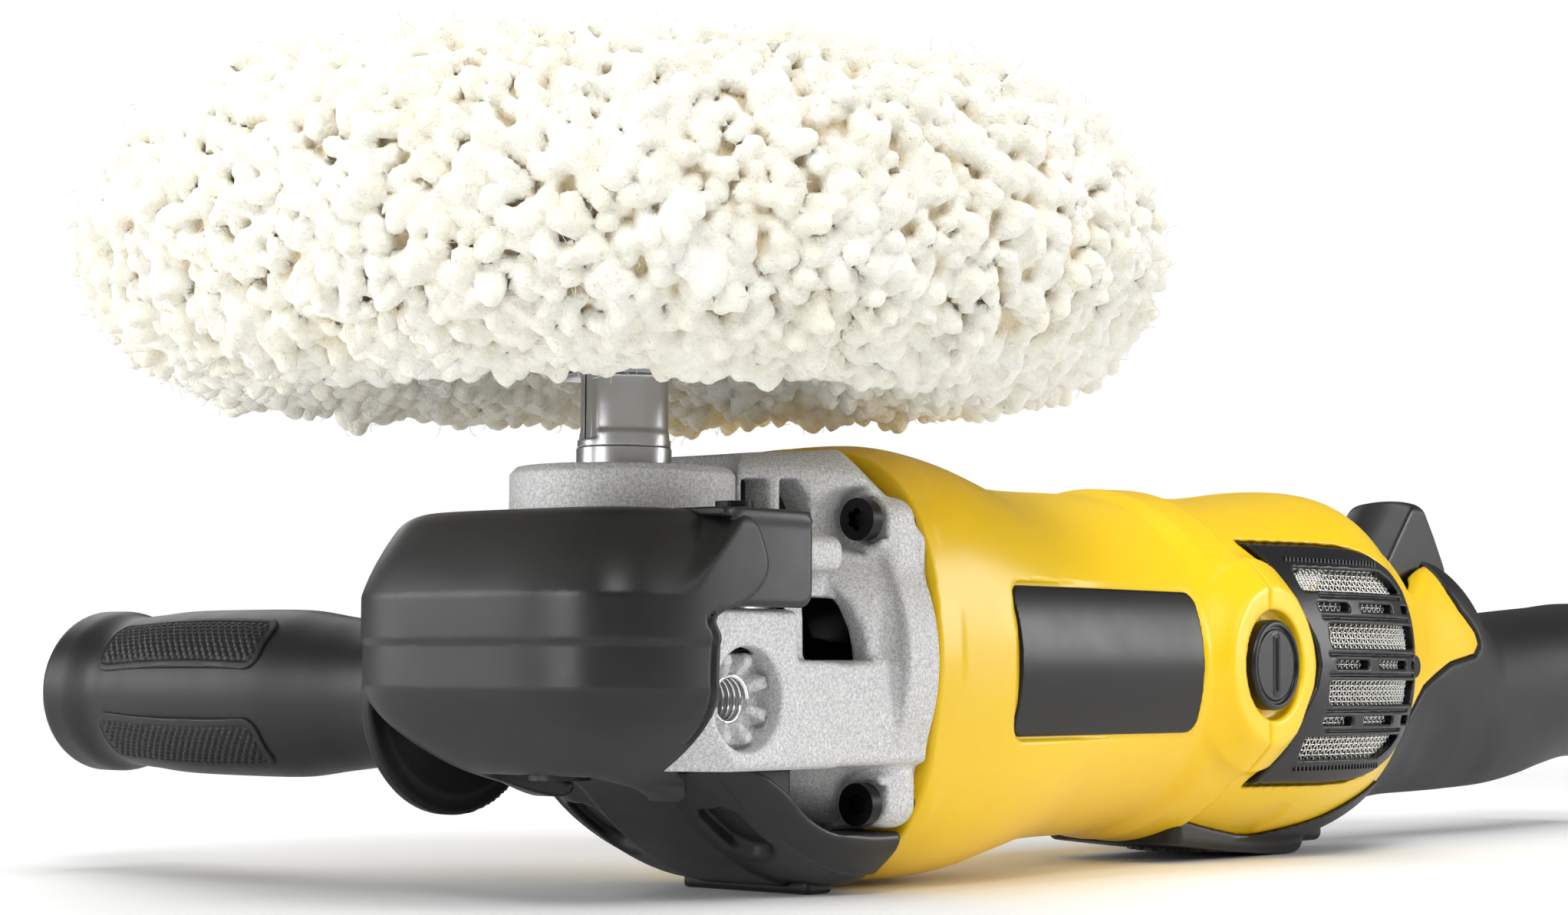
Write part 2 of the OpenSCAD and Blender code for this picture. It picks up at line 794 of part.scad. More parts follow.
module spindle_lock_button() {
  color([0.1, 0.1, 0.1]) place() translate([lock_pin_x, 0, 0]) {
    rod(2.4, -20, 1);
    rod(lock_button_r, -22.5, -18);
  }
}

module spindle_lock_spring() {
  color([0.6, 0.6, 0.62]) place() translate([lock_pin_x, 0, -17.9]) coil(4.6, 0.4, 5.8, 4);
}

module speed_dial() {
  color([0.1, 0.1, 0.1]) place() translate([dial_x, 0, 0]) difference() {
    rod(dial_r, -44.6, -38);
    for (a = [0 : 15 : 345]) rotate(a) translate([dial_r + 0.4, 0, 0]) rod(1, -46, -40);
    rod(6.4, -40, -30);
  }
}

gear_case();
nose_plate();
nose_plate_screws();
spindle_bearing();
spindle_tail_bearing();
gear_case_cover();
cover_liner();
cover_screws();
hand_rest();
rest_foot();
gear_case_screws();
motor_housing();
front_bearing();
rear_bearing();
stator_core();
field_coils();
fan_baffle();
brush_holders();
carbon_brushes();
brush_springs();
brush_caps();
handle_shell_left();
handle_shell_right();
handle_grip();
handle_screws();
intake_grille_left();
intake_grille_right();
intake_mesh_left();
intake_mesh_right();
grille_screws();
name_plates();
rear_bumper();
switch_module();
speed_module();
cord_gland();
cord_clamp();
side_handle_stud();
side_handle_grip();
side_handle_panels();
side_handle_cap();
armature_shaft();
armature_core();
armature_windings();
commutator();
fan();
pinion();
spindle();
ring_gear();
pad_adapter();
lower_pad_washer();
pad_core();
wool_pad();
upper_pad_washer();
pad_nut();
trigger();
lock_on_button();
spindle_lock_button();
spindle_lock_spring();
speed_dial();
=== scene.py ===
import json
import math

import bpy
import numpy as np
from mathutils import Matrix, Vector

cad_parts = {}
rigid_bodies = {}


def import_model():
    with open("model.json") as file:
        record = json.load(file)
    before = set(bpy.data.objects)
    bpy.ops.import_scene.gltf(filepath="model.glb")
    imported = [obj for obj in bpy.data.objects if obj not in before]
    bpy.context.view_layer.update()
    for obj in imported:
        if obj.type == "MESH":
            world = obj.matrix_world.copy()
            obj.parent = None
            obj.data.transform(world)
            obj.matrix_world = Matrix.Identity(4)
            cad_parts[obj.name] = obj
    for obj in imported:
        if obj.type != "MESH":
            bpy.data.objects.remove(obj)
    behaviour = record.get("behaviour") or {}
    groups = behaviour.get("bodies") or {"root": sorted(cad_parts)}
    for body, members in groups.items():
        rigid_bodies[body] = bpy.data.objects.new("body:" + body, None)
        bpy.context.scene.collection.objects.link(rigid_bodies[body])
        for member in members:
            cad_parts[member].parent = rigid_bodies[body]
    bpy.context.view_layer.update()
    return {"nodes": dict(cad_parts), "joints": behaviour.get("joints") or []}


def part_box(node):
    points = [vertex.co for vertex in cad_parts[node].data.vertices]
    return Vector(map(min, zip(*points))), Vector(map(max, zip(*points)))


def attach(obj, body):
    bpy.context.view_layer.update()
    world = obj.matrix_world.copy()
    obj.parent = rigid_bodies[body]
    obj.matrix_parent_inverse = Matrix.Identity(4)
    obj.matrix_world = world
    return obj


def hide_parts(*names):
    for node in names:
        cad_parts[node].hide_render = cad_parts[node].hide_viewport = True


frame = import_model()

# ---------------------------------------------------------------- frame and units
# Shapes are worked out in millimetres about the point where the spindle's axis meets the
# motor's axis: +X to the rear handle, +Y to the side handle, +Z to the pad.
JOINTS = {j["name"]: j for j in frame["joints"]}
ORIGIN = np.array(JOINTS["spindle_spin"]["pos_m"])
MM = 0.001
X, Y, Z = 0, 1, 2
AXIS = (0, 0)                   # the other two coordinates of a shape on the spindle's or motor's axis
FAR = 60                        # past the outside of every part but the handles and the pad
COARSER = 1  # what voxels and pitches are multiplied by


def to_row(points):
    return ORIGIN + np.asarray(points, float) * MM


def cad_box(node):
    """A CAD node's box in millimetres about the design origin."""
    low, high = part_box(node)
    return (np.array(low) - ORIGIN) / MM, (np.array(high) - ORIGIN) / MM


# ---------------------------------------------------------------- distance functions
# A shape is a function from points (N, 3) to signed distances, negative inside.
def length2(a, b):
    return np.sqrt(a * a + b * b)


def smooth_min(a, b, k):
    """The smaller of two distances, blended where they differ by less than k."""
    if k <= 0:
        return np.minimum(a, b)
    h = np.clip(0.5 + 0.5 * (b - a) / k, 0, 1)
    return b + (a - b) * h - k * h * (1 - h)


def smooth_max(a, b, k):
    return -smooth_min(-a, -b, k)


def join(k, *shapes):
    def f(p):
        d = shapes[0](p)
        for s in shapes[1:]:
            d = smooth_min(d, s(p), k)
        return d
    return f


def outside(shape):
    return lambda p: -shape(p)


def common(k, *shapes):
    return outside(join(k, *map(outside, shapes)))


def cut(k, body, *tools):
    return common(k, body, *map(outside, tools))


def grow(shape, by):
    return lambda p: shape(p) - by


def half_space(normal, offset):
    """Inside where normal . p < offset."""
    n = np.array(normal, np.float32)
    size = np.linalg.norm(n)
    return lambda p: (p @ n - offset) / size


def block(low, high, edge=0.0):
    low, high = np.array(low, np.float32), np.array(high, np.float32)
    mid, half = (low + high) / 2, (high - low) / 2 - edge

    def f(p):
        q = np.abs(p - mid) - half
        out = np.sqrt((np.maximum(q, 0) ** 2).sum(1))
        return out + np.minimum(q.max(1), 0) - edge
    return f


def slab_profile(d2, t, lo, hi, edge):
    """A flat outline's distance d2, extruded between lo and hi along t, with round edges."""
    q = np.abs(t - (lo + hi) / 2) - (hi - lo) / 2 + edge
    d = d2 + edge
    return length2(np.maximum(d, 0), np.maximum(q, 0)) + np.minimum(np.maximum(d, q), 0) - edge


def across(axis):
    """The other two axes, in X, Y, Z order."""
    return [a for a in (X, Y, Z) if a != axis]


def radius_about(axis, centre, p):
    """Distance from a line along an axis; centre is in the other two coordinates."""
    u, v = across(axis)
    return length2(p[:, u] - centre[0], p[:, v] - centre[1])


def rod(axis, centre, radius, lo, hi, edge=0.0):
    """A round bar along an axis, between lo and hi."""
    return lambda p: slab_profile(radius_about(axis, centre, p) - radius, p[:, axis], lo, hi, edge)


def outline_distance(px, py, pts):
    """Signed distance to a closed outline of straight lines."""
    pts = np.asarray(pts, np.float32)
    nxt = np.roll(pts, -1, axis=0)
    best = np.full(px.shape, 1e9, np.float32)
    inside = np.zeros(px.shape, bool)
    for a, b in zip(pts, nxt):
        ex, ey = b - a
        wx, wy = px - a[0], py - a[1]
        t = np.clip((wx * ex + wy * ey) / (ex * ex + ey * ey), 0, 1)
        best = np.minimum(best, (wx - t * ex) ** 2 + (wy - t * ey) ** 2)
        if ey != 0:
            inside ^= ((a[1] <= py) != (b[1] <= py)) & (wx < wy * ex / ey)
    d = np.sqrt(best)
    return np.where(inside, -d, d)


def side_view(pts, offset=0.0):
    """Everything behind an outline of (x, z) points seen from the side, drawn in by offset."""
    return lambda p: outline_distance(p[:, X], p[:, Z], pts) + offset


def prism(axis, pts, lo, hi, edge=0.0, corner=0.0):
    """An outline extruded along an axis, with its corners rounded by corner and its rims by edge."""
    u, v = across(axis)

    def f(p):
        d2 = outline_distance(p[:, u], p[:, v], pts) - corner
        return slab_profile(d2, p[:, axis], lo, hi, edge)
    return f


def lathe(axis, centre, pts, soft=0.0):
    """A turned shape; pts are (position along the axis, radius) round a closed outline."""
    return lambda p: outline_distance(p[:, axis], radius_about(axis, centre, p), pts) - soft


def both_sides(shape):
    """The same shape on both sides of the Y = 0 plane, drawn at positive Y."""
    def f(p):
        q = p.copy()
        q[:, Y] = np.abs(q[:, Y])
        return shape(q)
    return f


def turned(shape, axis, degrees, centre):
    """A shape turned about a line along an axis through centre."""
    u, v = [(Y, Z), (Z, X), (X, Y)][axis]
    c, s = math.cos(math.radians(degrees)), math.sin(math.radians(degrees))

    def f(p):
        q = p.copy()
        a, b = p[:, u] - centre[u], p[:, v] - centre[v]
        q[:, u] = c * a + s * b + centre[u]
        q[:, v] = -s * a + c * b + centre[v]
        return shape(q)
    return f


def through(*pairs):
    """A smooth curve through (x, y) pairs, level with its ends beyond them."""
    xs = np.array([a for a, _ in pairs], np.float32)
    ys = np.array([b for _, b in pairs], np.float32)
    slope = np.gradient(ys, xs)
    slope[0] = slope[-1] = 0

    def f(x):
        x = np.clip(x, xs[0], xs[-1])
        i = np.clip(np.searchsorted(xs, x) - 1, 0, len(xs) - 2)
        h = xs[i + 1] - xs[i]
        t = (x - xs[i]) / h
        t2, t3 = t * t, t * t * t
        return ((2 * t3 - 3 * t2 + 1) * ys[i] + (t3 - 2 * t2 + t) * h * slope[i]
                + (3 * t2 - 2 * t3) * ys[i + 1] + (t3 - t2) * h * slope[i + 1])
    return f


# ---------------------------------------------------------------- meshing
# Surface nets: a vertex in each cell that the surface crosses, a quad round each edge that
# it crosses, and then every vertex pulled onto the surface.
BLOCK = 8                       # cells along a block
BLOCK_REACH = 1.305             # a block is searched when its middle is nearer than this many block widths
BATCH = 400                     # blocks worked out at a time
SAMPLES = 400000                # points worked out at a time
ON_SURFACE = 1e-6               # stands for a distance of nought, so that each corner has a sign
CORNERS = [(i, j, k) for i in (0, 1) for j in (0, 1) for k in (0, 1)]
CELL_EDGES = [(a, b) for a in range(8) for b in range(a + 1, 8)
              if sum(abs(CORNERS[a][n] - CORNERS[b][n]) for n in range(3)) == 1]
ALONG_AXES = (4, 2, 1)          # the corners next to corner 0 along X, Y and Z


def gradient(shape, p, step):
    """Tetrahedral differences: four samples a point."""
    total = np.zeros_like(p)
    for s in ((1, -1, -1), (-1, -1, 1), (-1, 1, -1), (1, 1, 1)):
        e = np.array(s, np.float32)
        total += e * shape(p + e * step)[:, None]
    return total / (4 * step)


def index_grid(counts):
    return np.stack(np.meshgrid(*[np.arange(n) for n in counts], indexing="ij"), -1).reshape(-1, 3)


def near_blocks(shape, low, blocks, width):
    """First cells of the blocks that the surface may pass through."""
    grid = index_grid(blocks)
    mids = (low + (grid + 0.5) * width).astype(np.float32)
    d = np.concatenate([shape(mids[i:i + SAMPLES]) for i in range(0, len(mids), SAMPLES)])
    return grid[np.abs(d) < width * BLOCK_REACH] * BLOCK


def cell_points(c):
    """From each cell's corner values, the mean of the points where its edges cross the surface."""
    total = np.zeros((len(c), 3), np.float32)
    count = np.zeros(len(c), np.float32)
    for a, b in CELL_EDGES:
        hit = (c[:, a] < 0) != (c[:, b] < 0)
        t = np.where(hit, c[:, a] / np.where(hit, c[:, a] - c[:, b], 1), 0)[:, None]
        pa, pb = np.array(CORNERS[a], np.float32), np.array(CORNERS[b], np.float32)
        total += np.where(hit[:, None], pa + t * (pb - pa), 0)
        count += hit
    return total / count[:, None]


def crossed_edges(c, key):
    """Rows of (cell, axis, whether corner 0 is inside) for the edges from corner 0."""
    rows = []
    for axis, other in enumerate(ALONG_AXES):
        hit = (c[:, 0] < 0) != (c[:, other] < 0)
        rows.append(np.stack([key[hit], np.full(hit.sum(), axis), c[hit, 0] < 0], 1))
    return rows


def stitch(keys, edges, stride):
    """Quads round the crossed edges, from the four cells that share each."""
    quads = []
    for axis in (X, Y, Z):
        u, v = stride[(axis + 1) % 3], stride[(axis + 2) % 3]
        e = edges[edges[:, 1] == axis]
        ring = np.stack([e[:, 0] - u - v, e[:, 0] - v, e[:, 0], e[:, 0] - u], 1)
        ring = np.where(e[:, 2:3] == 1, ring, ring[:, ::-1])
        at = np.clip(np.searchsorted(keys, ring), 0, len(keys) - 1)
        quads.append(at[(keys[at] == ring).all(1)])
    return np.concatenate(quads)


def relaxed(p, quads):
    """Points moved halfway to the mean of their neighbours."""
    total = np.zeros((len(p), 3))
    count = np.zeros(len(p))
    for a, b in ((0, 1), (1, 2), (2, 3), (3, 0)):
        for s, t in ((a, b), (b, a)):
            for n in range(3):
                total[:, n] += np.bincount(quads[:, s], p[quads[:, t], n], len(p))
            count += np.bincount(quads[:, s], minlength=len(p))
    return (0.5 * p + 0.5 * total / np.maximum(count, 1)[:, None]).astype(np.float32)


def pulled(shape, p, voxel):
    """Points moved towards the surface, by part of a voxel at most."""
    step, furthest, least_slope = voxel * 0.25, voxel * 0.6, 0.05
    g = gradient(shape, p, step)
    move = -(shape(p) / np.maximum((g * g).sum(1), least_slope))[:, None] * g
    distance = np.sqrt((move * move).sum(1))
    return p + move * np.minimum(1, furthest / np.maximum(distance, 1e-9))[:, None]


def surface(shape, low, high, voxel, pulls=2):
    """Closed quad mesh of a shape's zero level, looked for near the surface only."""
    low = np.array(low, np.float32) - 2 * voxel
    span = np.array(high, np.float32) + 2 * voxel - low
    blocks = np.ceil(span / (voxel * BLOCK)).astype(int)
    cells = blocks * BLOCK + 1
    stride = np.array([cells[1] * cells[2], cells[2], 1])
    grid = near_blocks(shape, low, blocks, BLOCK * voxel)
    offsets = index_grid((BLOCK + 1,) * 3)
    keys, verts, edges = [], [], []
    for start in range(0, len(grid), BATCH):
        base = grid[start:start + BATCH]
        pts = (low + (base[:, None, :] + offsets[None]) * voxel).astype(np.float32)
        val = shape(pts.reshape(-1, 3)).reshape((len(base),) + (BLOCK + 1,) * 3)
        val = np.where(val == 0, ON_SURFACE, val)
        corner = [val[:, i:BLOCK + i, j:BLOCK + j, k:BLOCK + k] for i, j, k in CORNERS]
        inside = sum((c < 0).astype(np.int8) for c in corner)
        where = np.argwhere((inside > 0) & (inside < 8))
        if not len(where):
            continue
        c = np.stack([a[tuple(where.T)] for a in corner], 1)
        cell = base[where[:, 0]] + where[:, 1:]
        key = cell @ stride
        keys.append(key)
        verts.append(low + (cell + cell_points(c)) * voxel)
        edges += crossed_edges(c, key)
    keys, verts = np.concatenate(keys), np.concatenate(verts)
    order = np.argsort(keys)
    quads = stitch(keys[order], np.concatenate(edges), stride)
    p = verts[order].astype(np.float32)
    for turn in range(pulls):
        if turn:
            p = relaxed(p, quads)
        p = pulled(shape, p, voxel)
    return p, quads


def in_scene(name, data):
    obj = bpy.data.objects.new(name, data)
    bpy.context.scene.collection.objects.link(obj)
    return obj


def new_piece(name, points_mm, faces, body, material, smooth=True):
    """A mesh of quads that rides on a body."""
    mesh = bpy.data.meshes.new(name)
    faces = np.asarray(faces)
    mesh.vertices.add(len(points_mm))
    mesh.vertices.foreach_set("co", to_row(points_mm).astype(np.float32).ravel())
    mesh.loops.add(faces.size)
    mesh.loops.foreach_set("vertex_index", faces.ravel().astype(np.int32))
    mesh.polygons.add(len(faces))
    mesh.polygons.foreach_set("loop_start", np.arange(0, faces.size, 4, dtype=np.int32))
    mesh.update(calc_edges=True)
    mesh.validate()
    obj = in_scene(name, mesh)
    mesh.polygons.foreach_set("use_smooth", np.full(len(mesh.polygons), smooth))
    mesh.materials.append(material)
    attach(obj, body)
    return obj


def shape_piece(name, shape, low, high, voxel, material, replaces=(), body="root"):
    pts, quads = surface(shape, low, high, voxel * COARSER)
    obj = new_piece(name, pts, quads, body, material)
    if replaces:
        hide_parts(*replaces)
    return obj


# ---------------------------------------------------------------- materials
def opaque(color):
    """A plain colour with its alpha; a socket as it is."""
    return color if isinstance(color, bpy.types.NodeSocket) else (*color, 1)


class Nodes:
    """A short way to wire one material."""

    def __init__(self, name, **shader):
        self.mat = bpy.data.materials.new(name)
        self.mat.use_nodes = True
        self.tree = self.mat.node_tree
        self.bsdf = self.tree.nodes["Principled BSDF"]
        for key, value in shader.items():
            self.bsdf.inputs[key.replace("_", " ")].default_value = value
        self.place = self.tree.nodes.new("ShaderNodeTexCoord").outputs["Object"]

    def add(self, kind, inputs, **props):
        """A node whose inputs are set to values or linked to sockets."""
        node = self.tree.nodes.new("ShaderNode" + kind)
        for k, v in props.items():
            setattr(node, k, v)
        for k, v in inputs.items():
            if isinstance(v, bpy.types.NodeSocket):
                self.tree.links.new(v, node.inputs[k])
            else:
                node.inputs[k].default_value = v
        return node

    def noise(self, scale, detail=2.0, rough=0.5, stretch=None):
        where = self.place
        if stretch:
            where = self.add("Mapping", {"Vector": where, "Scale": stretch}).outputs[0]
        return self.add("TexNoise", {"Vector": where, "Scale": scale, "Detail": detail,
                                     "Roughness": rough}).outputs["Fac"]

    def ramp(self, fac, *stops):
        """Colours at (position, colour) stops along fac."""
        node = self.add("ValToRGB", {"Fac": fac})
        elements = node.color_ramp.elements
        while len(elements) < len(stops):
            elements.new(0.5)
        for element, (position, color) in zip(elements, stops):
            element.position = position
            element.color = opaque(color)
        return node.outputs["Color"]

    def spread(self, fac, low, high):
        return self.add("MapRange", {"Value": fac, "To Min": low, "To Max": high}).outputs[0]

    def mix(self, fac, a, b):
        factor, color_a, color_b, color_out = 0, 6, 7, 2      # the sockets of a colour mix
        inputs = {factor: fac, color_a: opaque(a), color_b: opaque(b)}
        return self.add("Mix", inputs, data_type="RGBA").outputs[color_out]

    def set(self, socket, value):
        self.tree.links.new(value, self.bsdf.inputs[socket])

    def bump(self, *heights):
        """Each height is (value, distance in metres, strength)."""
        normal = None
        for value, distance, strength in heights:
            node = self.add("Bump", {"Height": value, "Distance": distance, "Strength": strength})
            if normal:
                self.tree.links.new(normal, node.inputs["Normal"])
            normal = node.outputs["Normal"]
        self.set("Normal", normal)


def moulded(name, color, rough, grain, grain_scale, specular=0.5):
    """Moulded plastic or rubber: fine texture, faint mottling of colour and gloss."""
    m = Nodes(name, Roughness=rough, Specular_IOR_Level=specular)
    dark = tuple(c * 0.85 for c in color)
    light = tuple(c * 1.09 for c in color)
    m.set("Base Color", m.ramp(m.noise(38, 4), (0.3, dark), (0.7, light)))
    m.set("Roughness", m.spread(m.noise(90, 5, 0.6), rough - 0.06, rough + 0.08))
    m.bump((m.noise(grain_scale, 3, 0.6), 0.00006, grain), (m.noise(260, 2), 0.00008, 0.1))
    return m.mat


def boot_rubber():
    """Black rubber whose gloss drifts in slow patches."""
    m = Nodes("boot_rubber", Roughness=0.36, Specular_IOR_Level=0.42)
    dark, light = (0.006, 0.006, 0.007), (0.014, 0.014, 0.015)
    m.set("Base Color", m.ramp(m.noise(30, 5, 0.6), (0.35, dark), (0.7, light)))
    m.set("Roughness", m.spread(m.noise(26, 6, 0.62), 0.2, 0.56))
    m.bump((m.noise(900, 3, 0.6), 0.00005, 0.25), (m.noise(120, 3), 0.00025, 0.12))
    return m.mat


def yellow_housing():
    """Satin yellow nylon."""
    m = Nodes("yellow_housing", Roughness=0.3, Coat_Weight=0.08, Coat_Roughness=0.2,
              Specular_IOR_Level=0.35)
    deep, bright = (0.88, 0.55, 0.006), (0.93, 0.62, 0.01)
    m.set("Base Color", m.ramp(m.noise(22, 3), (0.3, deep), (0.7, bright)))
    m.set("Roughness", m.spread(m.noise(120, 5, 0.6), 0.26, 0.38))
    m.bump((m.noise(900, 3, 0.6), 0.00005, 0.2), (m.noise(50, 2), 0.0002, 0.06))
    return m.mat


def cast_aluminium():
    """Sand-cast metal: a fine bright and dark grain."""
    m = Nodes("cast_aluminium", Metallic=0.3, Roughness=0.46)
    tone = m.noise(30, 5, 0.6)
    dark, mid, bright = (0.42, 0.42, 0.43), (0.62, 0.62, 0.63), (0.80, 0.80, 0.80)
    m.set("Base Color", m.ramp(m.noise(1900, 2, 0.7), (0.3, dark), (0.5, mid), (0.68, bright)))
    m.set("Roughness", m.spread(tone, 0.42, 0.58))
    m.bump((m.noise(1500, 4, 0.7), 0.0003, 0.7), (m.noise(420, 3, 0.6), 0.0002, 0.3))
    return m.mat


def turned_steel(name, color, rough, stretch=(60, 60, 2600)):
    """Steel with fine turning marks round the Z axis."""
    m = Nodes(name, Metallic=1.0, Roughness=rough)
    lines = m.noise(1, 3, 0.6, stretch=stretch)
    m.set("Base Color", m.mix(lines, tuple(c * 0.93 for c in color), color))
    m.set("Roughness", m.spread(lines, rough - 0.04, rough + 0.08))
    m.bump((lines, 0.00002, 0.15))
    return m.mat


def plain_metal(name, color, rough):
    m = Nodes(name, Metallic=1.0, Roughness=rough)
    m.set("Base Color", m.mix(m.noise(140, 4), tuple(c * 0.8 for c in color), color))
    m.bump((m.noise(900, 3, 0.6), 0.00004, 0.3))
    return m.mat


def wool_material():
    """Cream wool, with tan shade painted into the creases between the locks."""
    m = Nodes("wool", Roughness=0.95, Specular_IOR_Level=0.1, Sheen_Weight=0.5, Sheen_Roughness=0.6,
              Sheen_Tint=(1.0, 0.97, 0.88, 1), Subsurface_Weight=0.4, Subsurface_Scale=0.002,
              Subsurface_Radius=(1.0, 0.85, 0.6))
    shaded, clean, crease_shade = (0.92, 0.88, 0.75), (0.97, 0.95, 0.87), (0.70, 0.57, 0.34)
    pile = m.ramp(m.noise(55, 4, 0.6), (0.3, shaded), (0.65, clean))
    height = m.add("Attribute", {}, attribute_name="crease_shade_mask").outputs["Fac"]
    depth = m.add("Math", {0: 1.0, 1: height}, operation="SUBTRACT").outputs[0]
    # painted shade: a tan colour mixed in where points lie deep in the creases between the locks
    m.set("Base Color", m.mix(depth, pile, crease_shade))
    fibre = m.noise(2600, 3, 0.7, stretch=(1, 1, 0.35))
    m.bump((m.noise(420, 3, 0.65), 0.0011, 0.8), (m.noise(1100, 3, 0.6), 0.0007, 0.8),
           (fibre, 0.0005, 0.6))
    return m.mat


# ---------------------------------------------------------------- the body's outline
# Along the body, (x, value) pairs: half width, top, bottom, and how square the section is
# (2 is an ellipse).
HALF_W = through((50, 38.2), (90, 38.4), (130, 39.0), (171, 39.8), (190, 41.2), (205, 41.8), (222, 41.4),
                 (238, 39.2), (250, 35.4), (260, 30.2), (270, 25.2), (285, 22.0), (310, 20.8), (340, 20.0),
                 (380, 20.0), (412, 21.4), (427, 20.6))
TOP = through((50, 43.8), (62, 44.9), (72, 44.2), (80, 43.0), (88, 41.3), (99, 39.0), (112, 38.6),
              (140, 39.0), (171, 39.7), (200, 40.6), (212, 41.8), (230, 43.6), (240, 43.4), (251, 41.0),
              (262, 37.4), (276, 34.4), (292, 32.0), (306, 29.6), (316, 27.6), (322, 24.0), (327, 18.6),
              (332, 14.8), (340, 13.7), (350, 14.1), (365, 15.3), (395, 17.4), (415, 18.8), (427, 18.2))
BOTTOM = through((50, -43.8), (64, -45.0), (80, -44.8), (99, -42.0), (117, -39.6), (140, -39.0),
                 (165, -39.4), (180, -41.6), (200, -43.6), (225, -43.4), (243, -40.4), (262, -36.6),
                 (285, -33.6), (310, -33.0), (325, -32.8), (348, -32.0), (362, -30.5), (376, -28.3),
                 (395, -25.9), (412, -25.4), (427, -25.4))
SQUARENESS = through((50, 2.7), (85, 2.5), (118, 2.02), (171, 2.0), (215, 2.3), (238, 2.35), (251, 2.2),
                     (262, 2.1), (280, 2.3), (427, 2.3))


def section_at(x):
    """Middle height, half height, half width and squareness of the body at a distance."""
    top, bottom = TOP(x), BOTTOM(x)
    return (top + bottom) / 2, (top - bottom) / 2, HALF_W(x), SQUARENESS(x)


def body_outline(p):
    mid, tall, wide, n = section_at(p[:, X])
    q = (np.abs(p[:, Y] / wide) ** n + np.abs((p[:, Z] - mid) / tall) ** n + 1e-9) ** (1 / n)
    return (q - 1) * np.minimum(wide, tall)


def surface_y(x, z):
    """Half width of the body's surface at a distance and a height."""
    mid, tall, wide, n = section_at(np.asarray(x, np.float32))
    return wide * np.maximum(1 - np.abs((z - mid) / tall) ** n, 0.02) ** (1 / n)


FLANGE_X = 50.0                 # the joint between the gear case and the housing
SEAM_X = 171.0                  # the joint between the housing and the handle shells
SEAM_GAP = 0.15                 # half the open width of that joint
TAIL_X = cad_box("handle_grip")[1][0]
SIDES = (("left", 1), ("right", -1))


def side_box(side, low, high):
    """A box drawn on the left side, or its mirror on the right."""
    if side > 0:
        return low, high
    return (low[0], -high[1], low[2]), (high[0], -low[1], high[2])


# ---------------------------------------------------------------- places on the body
BRUSH = (173.0, 0.0)            # X and Z of the brush caps
CAP_R = 10.3
DIAL = (203, 0)                 # X and Y of the speed dial
PORT = (-5.0, -7.1)             # X and Z of the side handle's ports
LOCK = (-17, 0)                 # X and Y of the spindle lock button
PLATE_FLOOR = 38.7              # radius of the name plate's recess


# ---------------------------------------------------------------- yellow shells
def plate_panel():
    """The shallow recess that the name plate lies in, on both sides."""
    outline = both_sides(block((76.8, 20, -15.9), (148.4, FAR, 16.8), 3.6))
    return common(0.1, outline, lambda p: PLATE_FLOOR - length2(p[:, Y], p[:, Z]))


def brush_boss():
    section = [(20, 0), (20, 27), (36, 24), (41.2, 18.6), (41.8, 17.6), (41.8, 0)]
    return both_sides(lathe(Y, BRUSH, section, 0.4))


def brush_pocket():
    return both_sides(rod(Y, BRUSH, 12.6, 39.2, FAR, 0.6))


def dial_hole():
    return rod(Z, DIAL, 15.8, -FAR, -30)


def rear_step():
    """The ramp that lifts the housing's rear edge to the wider handle shells."""
    start, length, height = 151, 7, 1.5

    def f(p):
        return body_outline(p) - height * np.clip((p[:, X] - start) / length, 0, 1)
    return common(0.4, f, half_space((-1, 0, 0), -148))


def corner_dents():
    """Shallow dents beside the housing's shoulders, just behind the seam."""
    dents = []
    for z, tilt in ((36.4, -32), (-38.4, 32)):
        dent = block((177, 18, z - 2.6), (201, 33, z + 2.6), 2.2)
        dents.append(turned(dent, X, tilt, (190, 26, z)))
    return both_sides(join(0, *dents))


def housing_shape():
    rear = SEAM_X - SEAM_GAP
    flange = join(2.0, block((FLANGE_X, -34, -32), (58, 34, 32), 6.5),
                  rod(X, AXIS, 38.0, FLANGE_X, 58.5, 1.5))
    body = common(0.8, body_outline, block((FLANGE_X + 0.05, -FAR, -FAR), (rear, FAR, FAR), 0.5))
    step = common(0.6, rear_step(), block((147, -FAR, -FAR), (rear, FAR, FAR), 0.5))
    boss = common(0.4, brush_boss(), half_space((1, 0, 0), rear))
    outer = join(2.5, join(0.3, join(2.5, body, flange), step), boss)
    outer = common(1.0, outer, half_space((-1, 0, 0), -FLANGE_X - 0.02))
    motor_room = rod(X, AXIS, 35.6, 20, SEAM_X + 20, 1.0)
    intake_recess = cut(0.2, grille_zone(-0.4), grow(body_outline, -1.6))
    return cut(0.5, outer, plate_panel(), brush_pocket(), motor_room, intake_recess)


# The edge of the black overmould on the handle, seen from the side: (x, z).
GRIP_LINE = [(238, -60), (240, -40), (246, -33.2), (262, -20.5), (282, -5.2), (300, 1.2), (314.5, 3.4),
             (318, 6.2), (316.4, 9.6), (309.2, 15.2), (306, 20), (305, 28), (305, 40), (440, 40),
             (440, -60)]


# An offset above nought draws a zone in, and one below nought widens it.
def grip_zone(offset):
    """The part of the handle that the black overmould covers."""
    return side_view(GRIP_LINE, offset)


def trigger_slot():
    return block((279.6, -10.5, 14), (320.4, 10.5, 70), 2.5)


